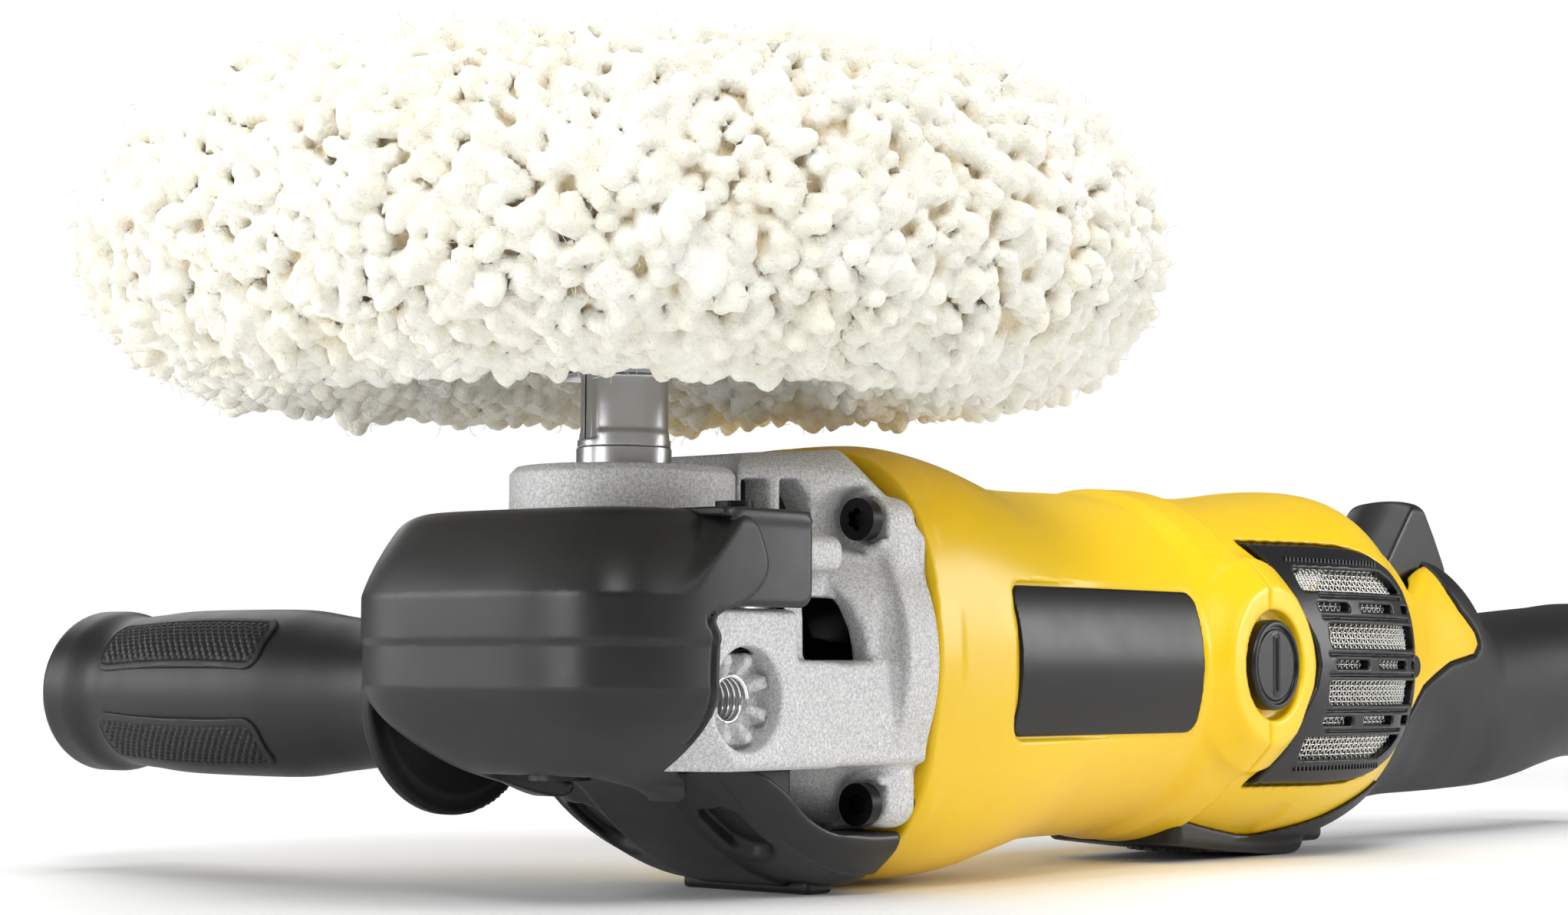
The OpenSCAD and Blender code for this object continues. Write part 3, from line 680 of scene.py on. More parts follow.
# The shield-shaped outline of an air intake, seen from the side: top, bottom and the notch
# in front, which follows the brush boss.
INTAKE = [
    (179.5, 28.4), (206, 28.7), (219, 28.4), (227.5, 27.2), (236, 24.0), (244, 19.0), (250, 12.0), (253, 5.0),
    (253.2, -3.0), (250, -11.0), (243.5, -18.0), (236, -22.8), (228, -25.8), (218.5, -27.4), (206, -27.8),
    (178.5, -27.5),
    (181.2, -22.6), (183.8, -19.0), (184.6, -14.6), (187.6, -10.2), (191.2, -5.2), (192.8, 0), (191.8, 5.0),
    (188.6, 10.4), (185.2, 14.2), (184.6, 19.6), (182.4, 24.7)]


def grille_zone(offset):
    return side_view(INTAKE, offset)


# The well that the trigger stands in, seen from the side: (x, z).
TRIGGER_WELL = [(277.0, 80), (277.0, 36), (277.6, 26), (279.4, 20.4), (284, 17.9), (297.6, 25.2), (304.5, 28),
                (319.6, 28.6), (319.6, 80)]


def handle_outer():
    boss = common(0.4, brush_boss(), half_space((-1, 0, 0), -SEAM_X))
    return cut(1.8, join(2.0, body_outline, boss), corner_dents())


def handle_shell_shape(side):
    """Yellow half shell; side is 1 for the left and -1 for the right."""
    half_gap, wall = 0.06, 3.0
    recess = cut(0.2, grille_zone(-0.5), grow(body_outline, -2.4))
    opening = common(0, grille_zone(3.5), lambda p: np.abs(np.abs(p[:, Y]) - 40) - 24)
    shell = common(0.5, handle_outer(), half_space((0, -side, 0), -half_gap))
    shell = common(0.7, shell, half_space((-1, 0, 0), -SEAM_X - SEAM_GAP))
    shell = cut(0.7, shell, grip_zone(-0.12))
    shell = cut(0.8, shell, trigger_slot())
    shell = cut(1.6, shell, side_view(TRIGGER_WELL))
    shell = cut(0.5, shell, brush_pocket())
    shell = cut(0.4, shell, recess, opening, dial_hole())
    return cut(0.3, shell, grow(body_outline, -wall))


def handle_grip_shape():
    proud, wall = 0.5, 2.0
    grip = common(1.6, grow(body_outline, proud), grip_zone(0.12))
    grip = common(2.4, grip, half_space((1, 0, 0), TAIL_X))
    grip = cut(0.3, grip, grow(body_outline, -wall))
    return cut(0.6, grip, rod(Y, (386, 8), 3.6, 13.5, 40, 0.5))      # a screw's hole


def make_yellow(yellow, grip):
    shape_piece("motor_housing_shell", housing_shape(), (50, -44, -46), (172, 44, 46), 0.75, yellow,
                ["motor_housing"])
    for name, side in SIDES:
        low, high = side_box(side, (170, -0.5, -46), (324, 44, 46))
        shape_piece(f"handle_shell_{name}_skin", handle_shell_shape(side), low, high, 0.7, yellow,
                    [f"handle_shell_{name}"])
    shape_piece("rear_grip", handle_grip_shape(), (236, -24, -42), (TAIL_X, 24, 32), 0.75, grip,
                ["handle_grip"])


# ---------------------------------------------------------------- air intakes
# Openings of an intake: wide slots (z, half height, first x, last x), small slots in the ribs
# (z, then first and last x of each), and fine grooves along the ribs (z).
SLOTS = [(20.2, 2.7, 191, 240), (7.0, 2.9, 198, 252), (-6.4, 2.9, 197, 252), (-19.4, 2.7, 190, 240)]
OUTER_SPANS = ((195.5, 209), (214, 231), (237.5, 245.5))
MIDDLE_SPANS = ((200, 215.5), (221, 239), (244.5, 250))
SMALL_SLOTS = [(13.8, OUTER_SPANS), (0.3, MIDDLE_SPANS), (-13.0, OUTER_SPANS)]
GROOVES = (11.3, 16.4, 2.6, -2.2, -10.7, -15.4)
TEETH_ROWS = (24.3, -23.6)
BOX_FACES = ((0, 1, 2, 3), (7, 6, 5, 4), (0, 4, 5, 1), (1, 5, 6, 2), (2, 6, 7, 3), (3, 7, 4, 0))


def intake_shape():
    proud, wall = 1.3, 2.0
    zone = grille_zone(0.2)
    slots = join(0, *[block((x0, -FAR, z - half), (x1, FAR, z + half), 1.6) for z, half, x0, x1 in SLOTS])
    small = [block((x0, -FAR, z - 1.0), (x1, FAR, z + 1.0), 0.9) for z, spans in SMALL_SLOTS
             for x0, x1 in spans]

    def grooves(p):
        line = np.min([np.abs(p[:, Z] - z) for z in GROOVES], 0) - 0.3
        front = 194 + 0.2 * np.abs(p[:, Z]) - p[:, X]
        return np.max([line, zone(p) + 4.4, front, 0.5 - body_outline(p)], 0)
    rim = 3.4
    grille = common(0.7, cut(0.4, grow(body_outline, proud), grow(body_outline, -wall)), zone)
    grille = cut(0.5, grille, common(0, slots, grow(zone, -rim)), *small)
    return cut(0.3, grille, grooves)


def intake_teeth(side):
    """Rows of fine ribs along the upper and lower edges of an intake."""
    pts, faces = [], []
    for z in TEETH_ROWS:
        for x in np.arange(190, 229, 1.5):
            y = side * (float(surface_y(x, z)) + 1.15)
            ring = ((x + 0.1, z - 1.0), (x + 0.7, z - 1.0), (x + 0.7, z + 1.0), (x + 0.1, z + 1.0))
            faces += [[len(pts) + i for i in face] for face in BOX_FACES]
            pts += [(a, b, c) for b in (y - 0.5, y + 0.5) for a, c in ring]
    return np.array(pts), np.array(faces)


def wire(path, radius, sides):
    """A thin tube along a list of points, open at its ends."""
    path = np.asarray(path, float)
    tangent = np.gradient(path, axis=0)
    tangent /= np.linalg.norm(tangent, axis=1)[:, None]
    side = np.cross(tangent, (0.13, 0.99, 0.05))      # any direction that no wire runs along
    side /= np.linalg.norm(side, axis=1)[:, None]
    other = np.cross(tangent, side)
    a = (np.arange(sides) * 2 * math.pi / sides)[None, :, None]
    ring = path[:, None] + radius * (np.cos(a) * side[:, None] + np.sin(a) * other[:, None])
    i = np.arange(sides)
    j = (i + 1) % sides
    k = np.arange(len(path) - 1)[:, None] * sides
    quads = np.stack([k + i, k + j, k + sides + j, k + sides + i], -1)
    return ring.reshape(-1, 3), quads.reshape(-1, 4)


def tubes(paths, radius, sides):
    pts, quads, count = [], [], 0
    for path in paths:
        p, q = wire(path, radius, sides)
        pts.append(p)
        quads.append(q + count)
        count += len(p)
    return np.concatenate(pts), np.concatenate(quads)


def woven_mesh(side):
    """Plain-weave wires under an intake, following the body's surface."""
    pitch, wire_r, sunk = 1.25 * COARSER, 0.26, 1.3
    weave = wire_r * 1.02
    x_span, z_span = (186, 253), (-23.5, 23.6)
    fine_x, fine_z = np.arange(*x_span, pitch / 2), np.arange(*z_span, pitch / 2)
    paths = []
    for i, x in enumerate(np.arange(*x_span, pitch)):
        wave = weave * np.cos(np.pi * (fine_z - z_span[0]) / pitch + np.pi * i)
        y = surface_y(x, fine_z) - sunk + wave
        paths.append(np.stack([np.full_like(fine_z, x), side * y, fine_z], 1))
    for j, z in enumerate(np.arange(*z_span, pitch)):
        wave = weave * np.cos(np.pi * (fine_x - x_span[0]) / pitch + np.pi * j)
        y = surface_y(fine_x, z) - sunk - wave
        paths.append(np.stack([fine_x, side * y, np.full_like(fine_x, z)], 1))
    return tubes(paths, wire_r, 4)


def make_intakes(black, steel):
    for name, side in SIDES:
        low, high = side_box(side, (176, 20, -30), (256, 45, 31))
        grille = shape_piece(f"intake_frame_{name}", intake_shape(), low, high, 0.5, black,
                             [f"intake_grille_{name}"])
        pts, faces = intake_teeth(side)
        teeth = new_piece(f"intake_teeth_{name}", pts, faces, "root", black, False)
        teeth.parent = grille.parent
        pts, quads = woven_mesh(side)
        mesh = new_piece(f"woven_mesh_{name}", pts, quads, "root", steel)
        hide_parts(f"intake_mesh_{name}")


# ---------------------------------------------------------------- trigger, bumper, plates and caps
# The trigger seen from the side, (x, z), and its half width.
TRIGGER = [(281.5, 14), (281.8, 21), (286, 27.7), (291.4, 33.6), (296.2, 38.6), (300.8, 43.4), (304, 44.2),
           (307, 41.4), (312.4, 34.6), (318, 26.6), (318.4, 22.6), (313, 22), (310, 14)]
TRIGGER_HALF = 9.7


def make_trigger(black):
    """A trigger whose rear and top faces are bowed across its width."""
    bow_back, bow_down, top = 2.4, 2.2, 45.6
    outline = prism(Y, TRIGGER, -TRIGGER_HALF, TRIGGER_HALF, 0.9, 1.2)

    def bowed(p):
        moved = p.copy()
        bow = (p[:, Y] / TRIGGER_HALF) ** 2
        moved[:, X] -= bow_back * bow
        d = smooth_max(outline(p), outline(moved), 0.4)
        return smooth_max(d, p[:, Z] - top + bow_down * bow, 2.4)
    shape_piece("trigger_skin", bowed, (278, -12, 10), (322, 12, 48), 0.5, black, ["trigger"],
                "trigger")


# Height of the bumper's upper edge along the body: (x, z).
BUMPER_EDGE = through((170, -46), (182, -43.4), (195, -41.4), (206, -39.4), (219, -36.4), (229, -32.6),
                      (238, -29.4), (246, -27))


def make_bumper(black):
    pad = block((168, -18.5, -45.98), (228, 18.5, -30), 3.4)
    toe = half_space((-0.105, 0, -1), 23.9)
    heel = block((222, -14, -43.6), (244, 14, -30), 2.0)
    wrap = common(0.6, grow(body_outline, 0.9), lambda p: (p[:, Z] - BUMPER_EDGE(p[:, X])) * 0.9,
                  lambda p: np.abs(p[:, X] - 208) - 34)
    dimple = rod(Z, (232, 0), 5.5, -FAR, -43.1, 0.3)
    bumper = join(1.2, join(1.0, common(2.0, pad, toe), heel), wrap)
    bumper = cut(0.3, bumper, grow(body_outline, 0.06))
    bumper = cut(0.6, bumper, dial_hole(), dimple)
    shape_piece("rear_bumper_skin", bumper, (168, -33, -46), (246, 33, -26), 0.6, black,
                ["rear_bumper"])


def make_plates(black):
    """A blank name plate on each side, bent round the housing."""
    outline = block((77.6, -FAR, -15.1), (147.7, FAR, 16.0), 3.4)
    inner_r, outer_r = 38.2, 39.15

    def f(p):
        r = length2(p[:, Y], p[:, Z])
        return smooth_max(np.maximum(r - outer_r, inner_r - r), outline(p), 0.15)
    for name, side in reversed(SIDES):
        low, high = side_box(side, (77, 33, -16), (149, 40, 17))
        piece = shape_piece(f"name_plate_{name}", f, low, high, 0.45, black)
        if name == "right":
            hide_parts("name_plates")


def make_brush_caps(black):
    slot = block((172.35, 42.05, -6.2), (173.65, FAR, 6.2), 0.6)
    rim = lathe(Y, BRUSH, [(42.0, 8.1), (42.0, 8.9), (FAR, 8.9), (FAR, 8.1)])
    dish = rod(Y, BRUSH, 8.1, 42.35, FAR, 0.3)
    raised = block((171.5, 41, -7.2), (174.5, 42.7, 7.2), 1.0)
    cap = cut(0.25, rod(Y, BRUSH, CAP_R, 38.6, 42.8, 0.9), rim, dish)
    cap = cut(0.2, join(0.3, cap, raised), slot)
    shape_piece("brush_caps_detail", both_sides(cap), (161, -43, -12), (185, 43, 12), 0.33, black,
                ["brush_caps"])


# ---------------------------------------------------------------- gear case
CASE_FRONT, CASE_HALF_W, CASE_CORNER = 39.5, 36.0, 16.0


def case_plan(z0, z1, edge):
    """The gear case seen along the spindle, extruded between two heights."""
    def f(p):
        front, side = -p[:, X] - CASE_FRONT, np.abs(p[:, Y]) - CASE_HALF_W
        qx, qy = np.maximum(front + CASE_CORNER, 0), np.maximum(side + CASE_CORNER, 0)
        d = np.where((qx <= 0) | (qy <= 0), np.maximum(front, side), length2(qx, qy) - CASE_CORNER)
        return slab_profile(d, p[:, Z], z0, z1, edge)
    return f


def port_pocket():
    """The round recess round a side handle port."""
    return both_sides(join(0, rod(Y, PORT, 9.7, 30.6, FAR, 0.6), rod(Y, PORT, 4.3, 23, FAR)))


def port_crown():
    """The serrated ring that keeps the side handle from turning, and its threaded hole."""
    teeth, valley, height, crown_r = 8, 31.2, 2.6, 8.7

    def f(p):
        x, z = p[:, X] - PORT[0], p[:, Z] - PORT[1]
        y, r = np.abs(p[:, Y]), length2(x, z)
        turn = (np.arctan2(z, x) / (2 * math.pi) * teeth) % 1
        wave = np.clip(2.4 - 8 * np.abs(turn - 0.5), 0, 1)
        top = valley + wave * height * np.clip((r - 3.0) / 4, 0.5, 1)
        return np.maximum(np.maximum(r - crown_r, y - top) * 0.6, 28 - y)
    hole = [(FAR, 0), (FAR, 6), (35, 4.7), (32.4, 4.5), (20, 4.5), (20, 0)]
    return cut(0.15, f, both_sides(lathe(Y, PORT, hole)))


def thread_turns():
    """A raised helix inside each port."""
    turns, pitch, steps, radius, start = 6, 1.4, 26, 4.35, 23.6
    a = np.arange(turns * steps + 1) * 2 * math.pi / steps
    x = PORT[0] + radius * np.cos(a)
    y = start + pitch * a / (2 * math.pi)
    rise = radius * np.sin(a)
    return tubes([np.stack([x, side * y, PORT[1] + side * rise], 1) for side in (1, -1)], 0.52, 6)


def screw_pads():
    """Round flats, pockets and the room in front of them, for the screws through the flange."""
    pads, pockets, rooms = [], [], []
    for z in (27.7, -27.7):
        pads.append(rod(X, (30.5, z), 6.2, 37.4, 50, 0.6))
        pockets.append(rod(X, (30.5, z), 4.7, 20, 39.6, 0.3))
        rooms.append(rod(X, (31.0, z), 6.6, 26, 37.4, 0.5))
    ear = block((30, 20, -31.8), (50, 34.0, 31.8), 4.0)
    pads, pockets, rooms = [both_sides(join(0, *group)) for group in (pads, pockets, rooms)]
    return common(0.6, pads, both_sides(ear)), pockets, rooms


def hood_shape():
    """The arm over the top that ties the nose to the flange, narrow at the nose."""
    section = [(6, 24), (6, 38.4), (20, 40.6), (41, 42.2), (46, 41.0), (52, 37.0), (52, 10), (30, 10)]
    arm = prism(Y, section, -35.6, 35.6, 1.6)
    side = both_sides(half_space((-0.385, 0.923, 0), 13.84))
    shoulder = both_sides(half_space((-0.29, 0.68, 0.67), 34.8))
    fall = both_sides(half_space((0.385, 0.596, 0.704), 57.7))
    return common(1.2, common(3.0, arm, shoulder), side, fall)


def hood_windows():
    """Two openings in each side of the arm."""
    first = [(12.4, 25), (12.4, 34.3), (16.6, 34.5), (16.6, 25)]
    second = [(20.1, 25), (20.1, 34.6), (22.9, 34.7), (27.1, 28.8), (26.8, 26.6), (25, 25)]
    return both_sides(join(0, prism(Y, first, 14, FAR, 0.2, 0.5), prism(Y, second, 16, FAR, 0.2, 0.5)))


def gear_case_shape():
    head = common(0.5, case_plan(-20, 27, 1.2), half_space((1, 0, 0), 21.5))
    low_block = common(1.4, case_plan(-20, 9.5, 1.6), half_space((1, 0, 0), 50))
    side_step = both_sides(block((9.2, 30.6, -0.2), (FAR, FAR, FAR), 1.6))
    upper_step = both_sides(block((-30, 31.0, 9.0), (FAR, FAR, FAR), 1.6))
    bell = common(1.5, rod(X, AXIS, 37.0, 14, 50, 3.0), block((14, -35.2, -32.8), (50, 35.2, 32.8), 8.0))
    cone = lathe(X, AXIS, [(16, 0), (16, 28.5), (38.5, 37.2), (50, 37.2), (50, 0)])
    plate = join(1.2, block((39.2, -34.5, -32.5), (50, 34.5, 32.5), 4.6), rod(X, AXIS, 39.2, 39.6, 50, 1.0))
    lug = both_sides(block((9.0, 24, 16.9), (23.6, 36.4, 23.9), 2.6))
    pads, pockets, room = screw_pads()
    window = prism(Y, [(17.8, 0.7), (17.8, 16.0), (26.4, 16.4), (29.6, 11.6), (31.4, 5.8), (32.0, 0.7)],
                   28.5, FAR, 0.4, 0.5)
    nose_seat = rod(Z, AXIS, 22.15, 27.0, FAR)
    inside = join(0, rod(Z, AXIS, 32.5, 1.5, 15.2), rod(X, AXIS, 30.5, 20, FAR))
    boss_hole = rod(Z, AXIS, 17.6, 10, FAR)
    lock_hole = join(0, rod(Z, LOCK, 6.5, -30, -11.5), rod(Z, LOCK, 2.9, -20, 4))

    def under_boot(p):
        """Keeps the casting inside the boot, in front of the boot's rear edge."""
        return boot_body(p) + 2.5 - 3.0 * np.clip((p[:, X] + 18) / 3, 0, 9)

    case = join(1.2, cut(1.2, head, side_step, upper_step), cut(1.6, low_block, side_step))
    case = join(3.0, case, common(1.2, cone, bell))
    case = cut(1.0, join(1.2, case, hood_shape()), room)
    case = join(1.0, case, join(1.0, plate, pads))
    case = common(0.2, join(0.6, case, lug), under_boot)
    case = cut(0.8, case, both_sides(window))
    case = cut(0.7, case, hood_windows(), port_pocket())
    case = join(0.3, cut(0.5, case, pockets), port_crown())
    case = cut(0.5, case, nose_seat, inside)
    case = cut(0.5, cut(0.4, case, boss_hole), lock_hole)
    return common(0.5, case, half_space((1, 0, 0), FLANGE_X - 0.02))


def make_gear_case(cast, bright):
    shape_piece("gear_case_casting", gear_case_shape(), (-41, -38.5, -33.5), (51, 38.5, 42), 0.62, cast,
                ["gear_case"])
    pts, quads = thread_turns()
    new_piece("port_threads", pts, quads, "root", bright)
    ring = lathe(Z, AXIS, [(27.0, 9.6), (27.0, 22.0), (35.4, 22.0), (36.8, 20.7), (36.8, 9.6)])
    dish = lathe(Z, AXIS, [(36.0, 0), (36.0, 13.2), (40, 14.4), (40, 0)])
    screw_circle = 16.6
    holes = [rod(Z, (screw_circle * math.cos(a), screw_circle * math.sin(a)), 3.15, 33.7, FAR)
             for a in np.radians((45, 135, 225, 315))]
    shape_piece("nose_ring", cut(0.35, ring, dish, *holes), (-23, -23, 26.5), (23, 23, 37.2), 0.5, cast,
                ["nose_plate"])


# ---------------------------------------------------------------- black boot, liner and hand rest
def boot_outline(p, grow_by):
    """The boot seen along the spindle: bowed faces with wide round corners."""
    long, wide, power = CASE_FRONT + grow_by, CASE_HALF_W + grow_by, 4.4
    q = (np.maximum(-p[:, X], 0) / long) ** power + (np.abs(p[:, Y]) / wide) ** power
    return ((q + 1e-9) ** (1 / power) - 1) * wide


def boot_body(p):
    """The boot's outside: two upright bands about a parting line, the upper facet above them,
    drawn in less towards the rear, and the lower facet rounded under them."""
    upper_z, lower_z, parting_z = 11.7, -5.4, 3.4
    rear_end, ramp = -22.0, 5.0
    z = p[:, Z]
    front = np.clip((rear_end + 0.9 * (z - 12.4) - p[:, X]) / ramp, 0, 1)
    rise = np.clip(z - upper_z, 0, 18)
    upper = (0.26 * rise + 0.012 * rise * rise) * front * front * (3 - 2 * front)
    drop = np.clip(lower_z - z, 0, 18)
    lower = 0.3 * drop + 0.042 * drop * drop
    lip = 0.3 * np.clip((parting_z - z) / 0.5, 0, 1)
    steepness = 0.76            # keeps the slanted facets' distances honest
    return (boot_outline(p, 3.4) + upper + lower + lip) * steepness


# The boot's underside along X, (x, z), and its rear edge up the side, (z, x).
BOOT_BASE = through((-45, -19.0), (-30, -20.4), (-16, -23.2), (-2, -26.6))
BOOT_EDGE = through((-27, -3.6), (-22.6, -4.4), (-20.6, -10.4), (-18.6, -12.8), (-12, -14.2), (-5, -15.4),
                    (4, -15.2), (8.5, -15.2), (10.6, -8.6), (12.6, -5.4), (24, -4.9), (28, -8.0))


def boot_shape():
    """A hollow boot with a line along its rear edge, open behind and round the nose ring."""
    wall, top, nose_r = 2.2, 27.7, 22.5
    dish = lathe(Z, (-16, 0), [(-FAR, 0), (-FAR, 17.6), (-21.6, 15.8), (-21.6, 0)])
    lock_hole = rod(Z, LOCK, 7.0, -FAR, 0)

    def f(p):
        x, z = p[:, X], p[:, Z]
        skin, base, behind = boot_body(p), BOOT_BASE(x), x - BOOT_EDGE(z)
        d = smooth_max(skin, z - top, 3.6)
        d = smooth_max(d, base - z, 1.8)
        d = smooth_max(d, behind * 0.8, 1.2)
        room = np.maximum(skin + wall, np.maximum(z - 26.0, np.maximum(-20.4, base + wall) - z))
        d = smooth_max(d, -room, 0.3)
        nose = length2(x, p[:, Y]) - nose_r
        d = smooth_max(d, -np.maximum(nose, 20 - z), 0.6)
        line = np.max([np.abs(behind + 2.4) - 0.28, -skin - 0.5, np.abs(z + 3) - 12], 0)
        return smooth_max(d, -line, 0.3)
    return cut(0.5, cut(0.6, f, dish), lock_hole)


def liner_shape():
    """The second layer: a tab down each side, a rim on top, and backs to the arm's windows."""
    tab = both_sides(block((-12, 30, 9.8), (11.0, FAR, 27.4), 3.2))
    backing = both_sides(join(0, block((11.4, 14.5, 24.6), (17.4, 16.2, 35.2), 0.4),
                              block((19.2, 16.6, 24.6), (27.8, 18.3, 35.8), 0.4)))

    def f(p):
        x, y, z = p[:, X], np.abs(p[:, Y]), p[:, Z]
        layer = np.maximum(boot_outline(p, 2.5), -boot_outline(p, 0.25)) * 0.95
        rim = np.max([y - 38.2, 20 - y, np.abs(z - 27.0) - 0.9, -14 - x, x - 10.6, 23 - length2(x, y)], 0)
        return np.minimum(smooth_min(smooth_max(layer, tab(p), 1.0), rim, 1.2), backing(p))
    return f


# The hand rest, (x, z): its underside, and the top and the step of its rim.
HUMP = through((-8, -20.6), (-3, -22.5), (1, -25.2), (5, -28.4), (11, -33.2), (20, -38.6), (30, -42.8),
               (38, -44.8), (49, -45.2))
RAIL_TOP = through((-8, -20.1), (5.0, -20.2), (12.5, -23.8), (22, -30.2), (27, -32.2), (36, -33.1),
                   (51, -33.3))
RAIL_LOW = through((-8, -20.4), (-0.7, -23.4), (3.4, -27.6), (10.8, -32.4), (21, -36.2), (32, -37.8),
                   (51, -38.2))


def hand_rest_shape():
    """A hump under the gear case with an open top: a core, and a deep rim round it on each side."""
    core_half, rim_in, rim_out, drum_r = 26.0, 25.0, 30.6, 38.6
    slot = block((6, 12.4, -FAR), (22, 22.0, -20), 4.2)

    def f(p):
        x, y, z = p[:, X], np.abs(p[:, Y]), p[:, Z]
        floor = HUMP(x) + 9.5 * np.clip((y - 17) / 14, 0, 1.3) ** 1.8
        step = np.clip((y - 11.0) / 0.8, 0, 1) * np.clip((24.5 - y) / 0.8, 0, 1)
        under = (floor + 0.8 * step - z) * 0.78
        core = smooth_max(under, y - core_half, 1.0)
        core = smooth_max(core, -(np.maximum(19.9 - x, -33.2 - z)), 1.0)
        rim = smooth_max(under, y - rim_out, 1.6)
        rim = smooth_max(rim, (z - RAIL_TOP(x)) * 0.85, 1.6)
        rim = smooth_max(rim, rim_in - y, 0.5)
        line = np.maximum(np.abs(z - RAIL_LOW(x)) * 0.8 - 0.35, 27.4 - y)
        line = np.maximum(line, 29.7 - y + 0.5 * np.clip(RAIL_LOW(x) - z, 0, 1))
        d = smooth_min(core, smooth_max(rim, -line, 0.3), 0.6)
        d = smooth_max(d, z + 20.1, 0.5)
        d = smooth_max(d, -9.5 - x, 2.0)
        d = smooth_max(d, (x - 48.4 - 0.15 * (z + 36)) * 0.9, 0.8)
        drum = length2(y, z) - drum_r
        d = smooth_max(d, -np.maximum(drum, 37.6 - x), 0.5)
        pocket = np.maximum(slot(np.stack([x, y, z], 1)), (z - (HUMP(x) + 4.6)) * 0.8)
        return smooth_max(d, -pocket, 0.8)
    return f


def make_rubber(boot):
    foot = block((36.5, -16.5, -45.98), (44.2, 16.5, -41), 0.8)
    shape_piece("boot_skin", boot_shape(), (-45, -41, -28), (-2, 41, 29), 0.62, boot,
                ["gear_case_cover"])
    shape_piece("boot_liner", liner_shape(), (-15, -40, 9), (29, 40, 37), 0.6, boot,
                ["cover_liner"])
    shape_piece("hand_rest_skin", hand_rest_shape(), (-11, -35, -46), (54, 35, -19), 0.7, boot,
                ["hand_rest"])
    shape_piece("rest_foot_skin", foot, (31, -20, -46), (46, 20, -40), 0.6, boot,
                ["rest_foot"])


# ---------------------------------------------------------------- side handle
HANDLE_END = cad_box("side_handle_cap")[1][1]
# Radius of the grip along the side handle: (y, radius).
GRIP_R = through((43, 19.0), (46, 16.6), (51, 15.0), (58, 14.7), (70, 15.7), (84, 17.4), (100, 18.1),
                 (118, 17.7), (132, 16.6), (139, 16.3), (144, 17.6), (148.5, 19.2))


def side_handle_shape():
    """A waisted grip with a wide flange, scalloped in its front face."""
    flange = lathe(Y, PORT, [(39.7, 0), (39.7, 23.7), (42.2, 23.7), (43.4, 22.6), (44.0, 0)])
    boss = rod(Y, PORT, 8.3, 34.8, 45, 0.5)
    core_bore = rod(Y, PORT, 4.3, 30, 66.4)
    scallops, start, end_seat = 6, 40.0, 14.0

    def f(p):
        x, y, z = p[:, X] - PORT[0], p[:, Y], p[:, Z] - PORT[1]
        r = length2(x, z)
        d = smooth_max((r - GRIP_R(y)) * 0.9, start - y, 0.3)
        d = smooth_max(d, y - (HANDLE_END - 0.6), 4.2)
        d = smooth_min(d, flange(p), 2.2)
        turn = (np.arctan2(z, x) / (2 * math.pi) * scallops) % 1
        scallop = (np.abs(turn - 0.5) - 0.12) * 10
        pocket = np.max([17.6 - r, r - 21.9, 42.3 - y, -scallop - 2.0], 0)
        d = smooth_max(d, -pocket, 0.6)
        d = smooth_min(d, boss(p), 0.5)
        return smooth_max(d, -np.maximum(r - end_seat, HANDLE_END - 1.4 - y), 0.8)
    return cut(0.2, f, core_bore)


PANELS_AT = (38, 142, 218, 322)      # degrees round the handle, from +X towards +Z
PANEL_Y, PANEL_HALF = 109.0, 27.0    # middle and half length of a panel


def panel_shape():
    """Raised knurled panels: small diamonds inside a rounded outline."""
    half_w, corner, diamond_size = 6.6, 4.0, 2.1

    def f(p):
        x, y, z = p[:, X] - PORT[0], p[:, Y], p[:, Z] - PORT[1]
        r, base = length2(x, z), GRIP_R(y)
        angle = np.degrees(np.arctan2(z, x)) % 360
        best = np.full(len(p), 1e3, np.float32)
        for at in PANELS_AT:
            s = np.radians((angle - at + 180) % 360 - 180) * base
            qs = np.abs(s) - half_w + corner
            qy = np.abs(y - PANEL_Y) - PANEL_HALF + corner
            edge = length2(np.maximum(qs, 0), np.maximum(qy, 0)) + np.minimum(np.maximum(qs, qy), 0) - corner
            rim = 0.75 * np.clip(1.3 - np.abs(edge + 0.7), 0, 0.6)
            u, v = (s + y) / diamond_size, (s - y) / diamond_size
            diamond = (0.5 - np.abs(u % 1 - 0.5)) * (0.5 - np.abs(v % 1 - 0.5)) * 4
            raised = np.where(edge < -1.9, 0.15 + 0.75 * np.clip(diamond * 1.6, 0, 0.6), 0.1)
            best = np.minimum(best, np.maximum((r - base - np.maximum(raised, rim)) * 0.8, edge))
        return np.maximum(best, base - 1.0 - r)
    return f


def make_side_handle(rubber, hard):
    shape_piece("side_grip_skin", side_handle_shape(), (-30, 34, -32), (20, HANDLE_END, 18), 0.7, rubber,
                ["side_handle_grip"])
    shape_piece("side_grip_panels", panel_shape(), (-26, 80, -28), (16, 138, 14), 0.42, rubber,
                ["side_handle_panels"])
    section = [(2.2, 0), (2.2, 13.6), (0.8, 13.4), (0.5, 9.0), (0.3, 0)]
    cap = lathe(Y, PORT, [(HANDLE_END - depth, r) for depth, r in section], 0.25)
    shape_piece("side_handle_cap_skin", cap, (-22, 148, -24), (12, HANDLE_END, 10), 0.5, hard,
                ["side_handle_cap"])


